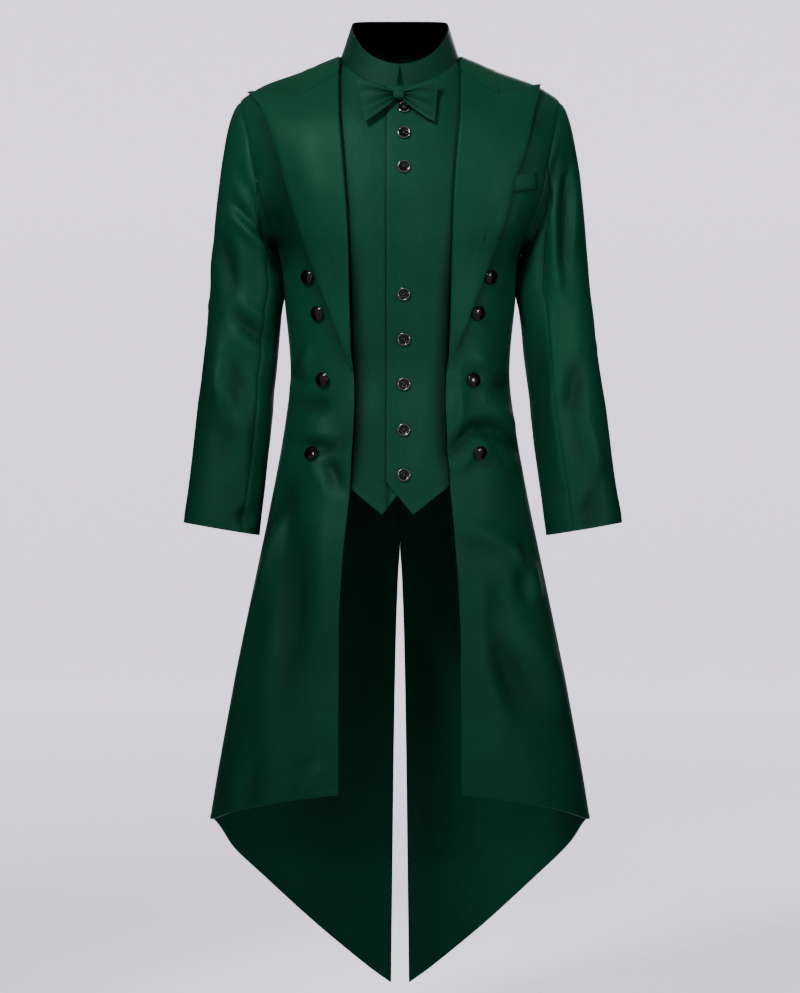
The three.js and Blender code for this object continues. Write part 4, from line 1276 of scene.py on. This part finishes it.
COAT_BUTTON = [(0, 0), (3.0, 0), (3.2, 0.4), (3.2, 3.3), (8.4, 3.4)]
COAT_BUTTON += arc((9.2, 4.4), (0.8, 0.8), -80, 75, 7) + arc((0, 4.9), (8.9, 2.6), 12, 90, 14)
FRONT_BUTTON = [(0, 0), (6.8, 0)] + arc((7.9, 2.2), (1.1, 1.1), -80, 185, 14)
FRONT_BUTTON += [(6.3, 1.95), (5.0, 1.8), (3.0, 1.7), (0, 1.65)]
BUTTON_STEPS = 48
BUTTON_LIFT = 0.5
HOLE_RADIUS, HOLE_OUT = 0.85, 2.0 * math.sqrt(2)
SEATING = 12.0


def turned(profile, steps=BUTTON_STEPS, unit=MM):
    """A profile of radius and height spun round Z."""
    mesh = bmesh.new()
    verts = [mesh.verts.new((r * unit, 0, h * unit)) for r, h in profile]
    edges = [mesh.edges.new(pair) for pair in zip(verts, verts[1:])]
    bmesh.ops.spin(
        mesh, geom=verts + edges, cent=(0, 0, 0), axis=(0, 0, 1), angle=2 * math.pi,
        steps=steps, use_merge=True,
    )
    bmesh.ops.remove_doubles(mesh, verts=mesh.verts, dist=1e-6)
    bmesh.ops.recalc_face_normals(mesh, faces=mesh.faces)
    return mesh


def stand_on(mesh, surface, x, z, lift):
    """Moves a mesh that stands on Z so that it stands on a surface, its top outwards."""
    run_x = surface(x + SEATING, z) - surface(x - SEATING, z)
    run_z = surface(x, z + SEATING) - surface(x, z - SEATING)
    normal = run_x.cross(run_z).normalized()
    if normal.y > 0:
        normal.negate()
    turn = Vector((0, 0, 1)).rotation_difference(normal).to_matrix().to_4x4()
    turn.translation = (surface(x, z) + normal * lift) * MM
    bmesh.ops.transform(mesh, matrix=turn, verts=mesh.verts)


def button_place(side, x, z):
    return body_at(side, FRONT, max(0.01, x), z)


COAT_BUTTONS = (
    ("left", 1, ((123, -312), (106, -362), (101, -454), (104.5, -554))),
    ("right", -1, ((126, -312), (112.5, -362), (105.5, -453), (120, -556))),
)
for word, side, places in COAT_BUTTONS:
    for number, (x, z) in enumerate(places, 1):
        mesh = turned(COAT_BUTTON)
        stand_on(mesh, lambda a, b: button_place(side, a, b), x, z, BUTTON_LIFT)
        button = finish_piece(f"resin_coat_button_{word}_{number}", mesh, [polish])
        put_on_coat(button, f"coat_button_{word}_{number}")
print("coat buttons:", sum(len(places) for _, _, places in COAT_BUTTONS))

# %% [markdown]
# ### Holes and threads
# The holes are drilled after the button is turned: four thin rods are taken out of it with a
# Boolean. Each pair of holes then gets a thread, a small bent rod of its own. Sewing thread is
# twisted cotton, dull and nearly black, so a fine wave stands for its twist.

# %% Buttons of the front
FRONT_BUTTON_X = 5.5
FRONT_BUTTON_HEIGHTS = (-80, -116, -163, -337, -398.5, -460, -523, -584.5)
BUTTON_FACE_RADIUS = 6.9
THREAD_RADIUS, THREAD_ARCH, THREAD_STEPS = 0.35, 1.6, 8
THREAD_FOOT, THREAD_LIFT = 0.9, 1.1
thread = new_material("black_sewing_thread")
along_thread = add_node(thread, "ShaderNodeTexCoord").outputs["Object"]
twist = add_node(
    thread, "ShaderNodeTexWave", [("Vector", along_thread)], Scale=260.0, Distortion=1.0,
)
thread_bump = add_node(
    thread, "ShaderNodeBump", [("Height", twist.outputs["Fac"])], Strength=0.4, Distance=0.2 * MM,
)
thread_shader = add_node(
    thread, "ShaderNodeBsdfPrincipled", [("Normal", thread_bump.outputs[0])],
    Base_Color=linear("#08160f"), Roughness=0.7,
)
add_node(thread, "ShaderNodeOutputMaterial", [("Surface", thread_shader.outputs[0])])


def drilled_button():
    """The front's button as a mesh, with its four holes."""
    button = finish_piece("button_blank", turned(FRONT_BUTTON), [polish])
    rods = bmesh.new()
    for quarter in range(4):
        angle = math.pi / 4 + quarter * HALF_PI
        rod = bmesh.ops.create_cone(
            rods, cap_ends=True, segments=14, radius1=HOLE_RADIUS * MM, radius2=HOLE_RADIUS * MM,
            depth=12 * MM,
        )
        place = Vector((math.cos(angle), math.sin(angle), 0)) * HOLE_OUT * MM
        bmesh.ops.translate(rods, verts=rod["verts"], vec=place)
    drill = finish_piece("button_drill", rods, [polish], smooth=False)
    cut = button.modifiers.new("holes", "BOOLEAN")
    cut.object, cut.operation, cut.solver = drill, "DIFFERENCE", "EXACT"
    graph = bpy.context.evaluated_depsgraph_get()
    graph.update()
    mesh = bmesh.new()
    mesh.from_mesh(button.evaluated_get(graph).to_mesh())
    for spare in (button, drill):
        bpy.data.objects.remove(spare)
    for face in mesh.faces:
        middle = face.calc_center_median()
        # Faces outside the button's face take the rim's resin, with its painted glint.
        face.material_index = int(math.hypot(middle.x, middle.y) > BUTTON_FACE_RADIUS * MM)
    return mesh


def thread_loop(mesh, angle):
    """A bent rod of thread from hole to hole, arched over the button's middle."""
    run = Vector((math.cos(angle), math.sin(angle), 0))
    ring = bmesh.ops.create_circle(mesh, segments=6, radius=THREAD_RADIUS * MM)["verts"]
    turn = run.to_track_quat("Z", "X").to_matrix()
    bmesh.ops.rotate(mesh, verts=ring, cent=(0, 0, 0), matrix=turn)
    start = run * -HOLE_OUT * MM + Vector((0, 0, THREAD_FOOT * MM))
    bmesh.ops.translate(mesh, verts=ring, vec=start)
    edges = list({edge for vert in ring for edge in vert.link_edges})
    arch = [THREAD_ARCH * math.sin(math.pi * i / THREAD_STEPS) for i in range(THREAD_STEPS + 1)]
    for low_end, high_end in zip(arch, arch[1:]):
        out = bmesh.ops.extrude_edge_only(mesh, edges=edges)["geom"]
        verts = [g for g in out if isinstance(g, bmesh.types.BMVert)]
        edges = [g for g in out if isinstance(g, bmesh.types.BMEdge)]
        step = run * (2 * HOLE_OUT / THREAD_STEPS) + Vector((0, 0, high_end - low_end))
        bmesh.ops.translate(mesh, verts=verts, vec=step * MM)


def placket(x, z):
    return body_at(1, FRONT, max(0.01, x), z, vest_inset(x, z))


blank = drilled_button()
for number, z in enumerate(FRONT_BUTTON_HEIGHTS, 1):
    mesh = blank.copy()
    stand_on(mesh, placket, FRONT_BUTTON_X, z, BUTTON_LIFT)
    button = finish_piece(f"resin_front_button_{number}", mesh, [polish, rim_polish_and_painted_glint])
    put_on_coat(button, f"front_button_{number}")
    stitches = bmesh.new()
    for angle in (math.pi / 4, -math.pi / 4):
        thread_loop(stitches, angle)
    bmesh.ops.recalc_face_normals(stitches, faces=stitches.faces)
    stand_on(stitches, placket, FRONT_BUTTON_X, z, BUTTON_LIFT + THREAD_LIFT)
    crossed = finish_piece(f"thread_front_button_{number}", stitches, [thread])
    put_on_coat(crossed)
print("buttons of the front:", len(FRONT_BUTTON_HEIGHTS))

# %% [markdown]
# ### Buttonholes
# The placket's holes lie across, each bound with close stitches. The lower five show a little
# beside their buttons. Each is a flattened ring of thread laid on the cloth.

# %% Buttonholes
HOLE_LENGTH, HOLE_WIDTH, HOLE_THREAD = 21.0, 2.6, 0.55
HOLE_SHIFT, HOLE_FLATNESS, BINDING_LIFT = -4.5, 0.6, 0.35
STRETCH = (HOLE_LENGTH - HOLE_WIDTH) / 2 * MM
across_ring = Vector((0, 1, 0)).to_track_quat("Z", "X").to_matrix()
for number, z in enumerate(FRONT_BUTTON_HEIGHTS[3:], 1):
    hole = bmesh.new()
    ring = bmesh.ops.create_circle(hole, segments=6, radius=HOLE_THREAD * MM)["verts"]
    bmesh.ops.rotate(hole, verts=ring, cent=(0, 0, 0), matrix=across_ring)
    bmesh.ops.translate(hole, verts=ring, vec=(HOLE_WIDTH * MM / 2, 0, 0))
    bmesh.ops.spin(
        hole, geom=hole.verts[:] + hole.edges[:], cent=(0, 0, 0), axis=(0, 0, 1),
        angle=2 * math.pi, steps=36, use_merge=True,
    )
    bmesh.ops.remove_doubles(hole, verts=hole.verts, dist=1e-6)
    for vert in hole.verts:
        vert.co.x += math.copysign(STRETCH, vert.co.x) if abs(vert.co.x) > 1e-7 else 0
        vert.co.z *= HOLE_FLATNESS
        flat = placket(FRONT_BUTTON_X + HOLE_SHIFT + vert.co.x / MM, z + vert.co.y / MM)
        vert.co = (flat + Vector((0, -BINDING_LIFT, 0))) * MM + Vector((0, -vert.co.z, 0))
    bmesh.ops.recalc_face_normals(hole, faces=hole.faces)
    binding = finish_piece(f"thread_buttonhole_{number}", hole, [thread])
    put_on_coat(binding)
print("buttonholes:", number)

# %% [markdown]
# ## Light and floor
# A pale studio of matt paper: the floor curves up into a backdrop, so that no corner shows, and
# glows a little, as paper does under lamps of its own. The key light stands in front, up on the
# left of the picture. A weaker one lights the sleeve on the right, and one the back.

# %% Floor and backdrop
FLOOR_Z = -1.42
STUDIO_RADIUS = 9.0
CURVE_RADIUS = 2.2
WALL_HEIGHT = 6.0
paper = new_material("pale_studio_paper")
paper_shader = add_node(
    paper, "ShaderNodeBsdfPrincipled", Base_Color=linear("#dcd6e0"), Roughness=0.95,
    Emission_Color=linear("#dcd6e2"), Emission_Strength=1.26,
)
add_node(paper, "ShaderNodeOutputMaterial", [("Surface", paper_shader.outputs[0])])
sweep = [(0.0, FLOOR_Z), (STUDIO_RADIUS / 2, FLOOR_Z)]
sweep += arc((STUDIO_RADIUS, FLOOR_Z + CURVE_RADIUS), (CURVE_RADIUS, CURVE_RADIUS), -90, 0, 12)
sweep.append((STUDIO_RADIUS + CURVE_RADIUS, FLOOR_Z + WALL_HEIGHT))
finish_piece("studio_sweep", turned(sweep, 96, 1), [paper])
print("studio:", STUDIO_RADIUS + CURVE_RADIUS, "m round the coat")

# %% Lights


def soft_light(name, place, aim, size, power, spread):
    data = bpy.data.lights.new(name, "AREA")
    data.shape, data.size, data.energy = "SQUARE", size, power
    data.spread = math.radians(spread)
    light = bpy.data.objects.new(name, data)
    light.location = place
    light.rotation_euler = (Vector(aim) - Vector(place)).to_track_quat("-Z", "Y").to_euler()
    light.visible_camera = False
    bpy.context.collection.objects.link(light)
    print(f"{name} light: {power} W, {size} m wide, spread {spread} degrees")


soft_light("key", (-1.5, -2.7, 1.9), (0, 0, -0.14), 0.7, 14.6, 36)
soft_light("low_key", (2.6, -2.6, 0.1), (0.28, 0, -0.3), 0.6, 3.2, 26)
soft_light("back", (0.9, 3.4, 1.2), (0, 0, -0.4), 1.2, 8, 60)

# %% [markdown]
# ### Black flags
# Two tall black flags stand beside and behind the coat, outside the picture. Without them its
# sides would mirror the pale backdrop and look grey; with them they fall off to dark green, as
# they do in the picture. The camera doesn't see them, so that they hide nothing from any side.

# %% Black flags
FLAG_LINE = ((0.95, -0.5), (1.0, 1.2), (1.1, 2.6))
FLAG_HEIGHTS = (-1.38, 0.5)
felt = new_material("black_flag_felt")
felt_shader = add_node(
    felt, "ShaderNodeBsdfPrincipled", Base_Color=linear("#030303"), Roughness=0.95,
    Specular_IOR_Level=0.0,
)
add_node(felt, "ShaderNodeOutputMaterial", [("Surface", felt_shader.outputs[0])])
for word, side in SIDES:
    flag = bmesh.new()
    low_row, high_row = (
        [flag.verts.new((side * x, y, z)) for x, y in FLAG_LINE] for z in FLAG_HEIGHTS
    )
    for i in range(len(FLAG_LINE) - 1):
        flag.faces.new((low_row[i], low_row[i + 1], high_row[i + 1], high_row[i]))
    panel = finish_piece(f"flag_{word}", flag, [felt], smooth=False)
    panel.visible_camera = False
    print(panel.name, "of felt,", FLAG_HEIGHTS[1] - FLAG_HEIGHTS[0], "m tall")

# %% Air
world = bpy.data.worlds.new("studio_air")
world.use_nodes = True
air = world.node_tree.nodes["Background"]
air.inputs["Color"].default_value = linear("#e4e2ea")
air.inputs["Strength"].default_value = 0.5
bpy.context.scene.world = world
print("air:", air.inputs["Strength"].default_value)
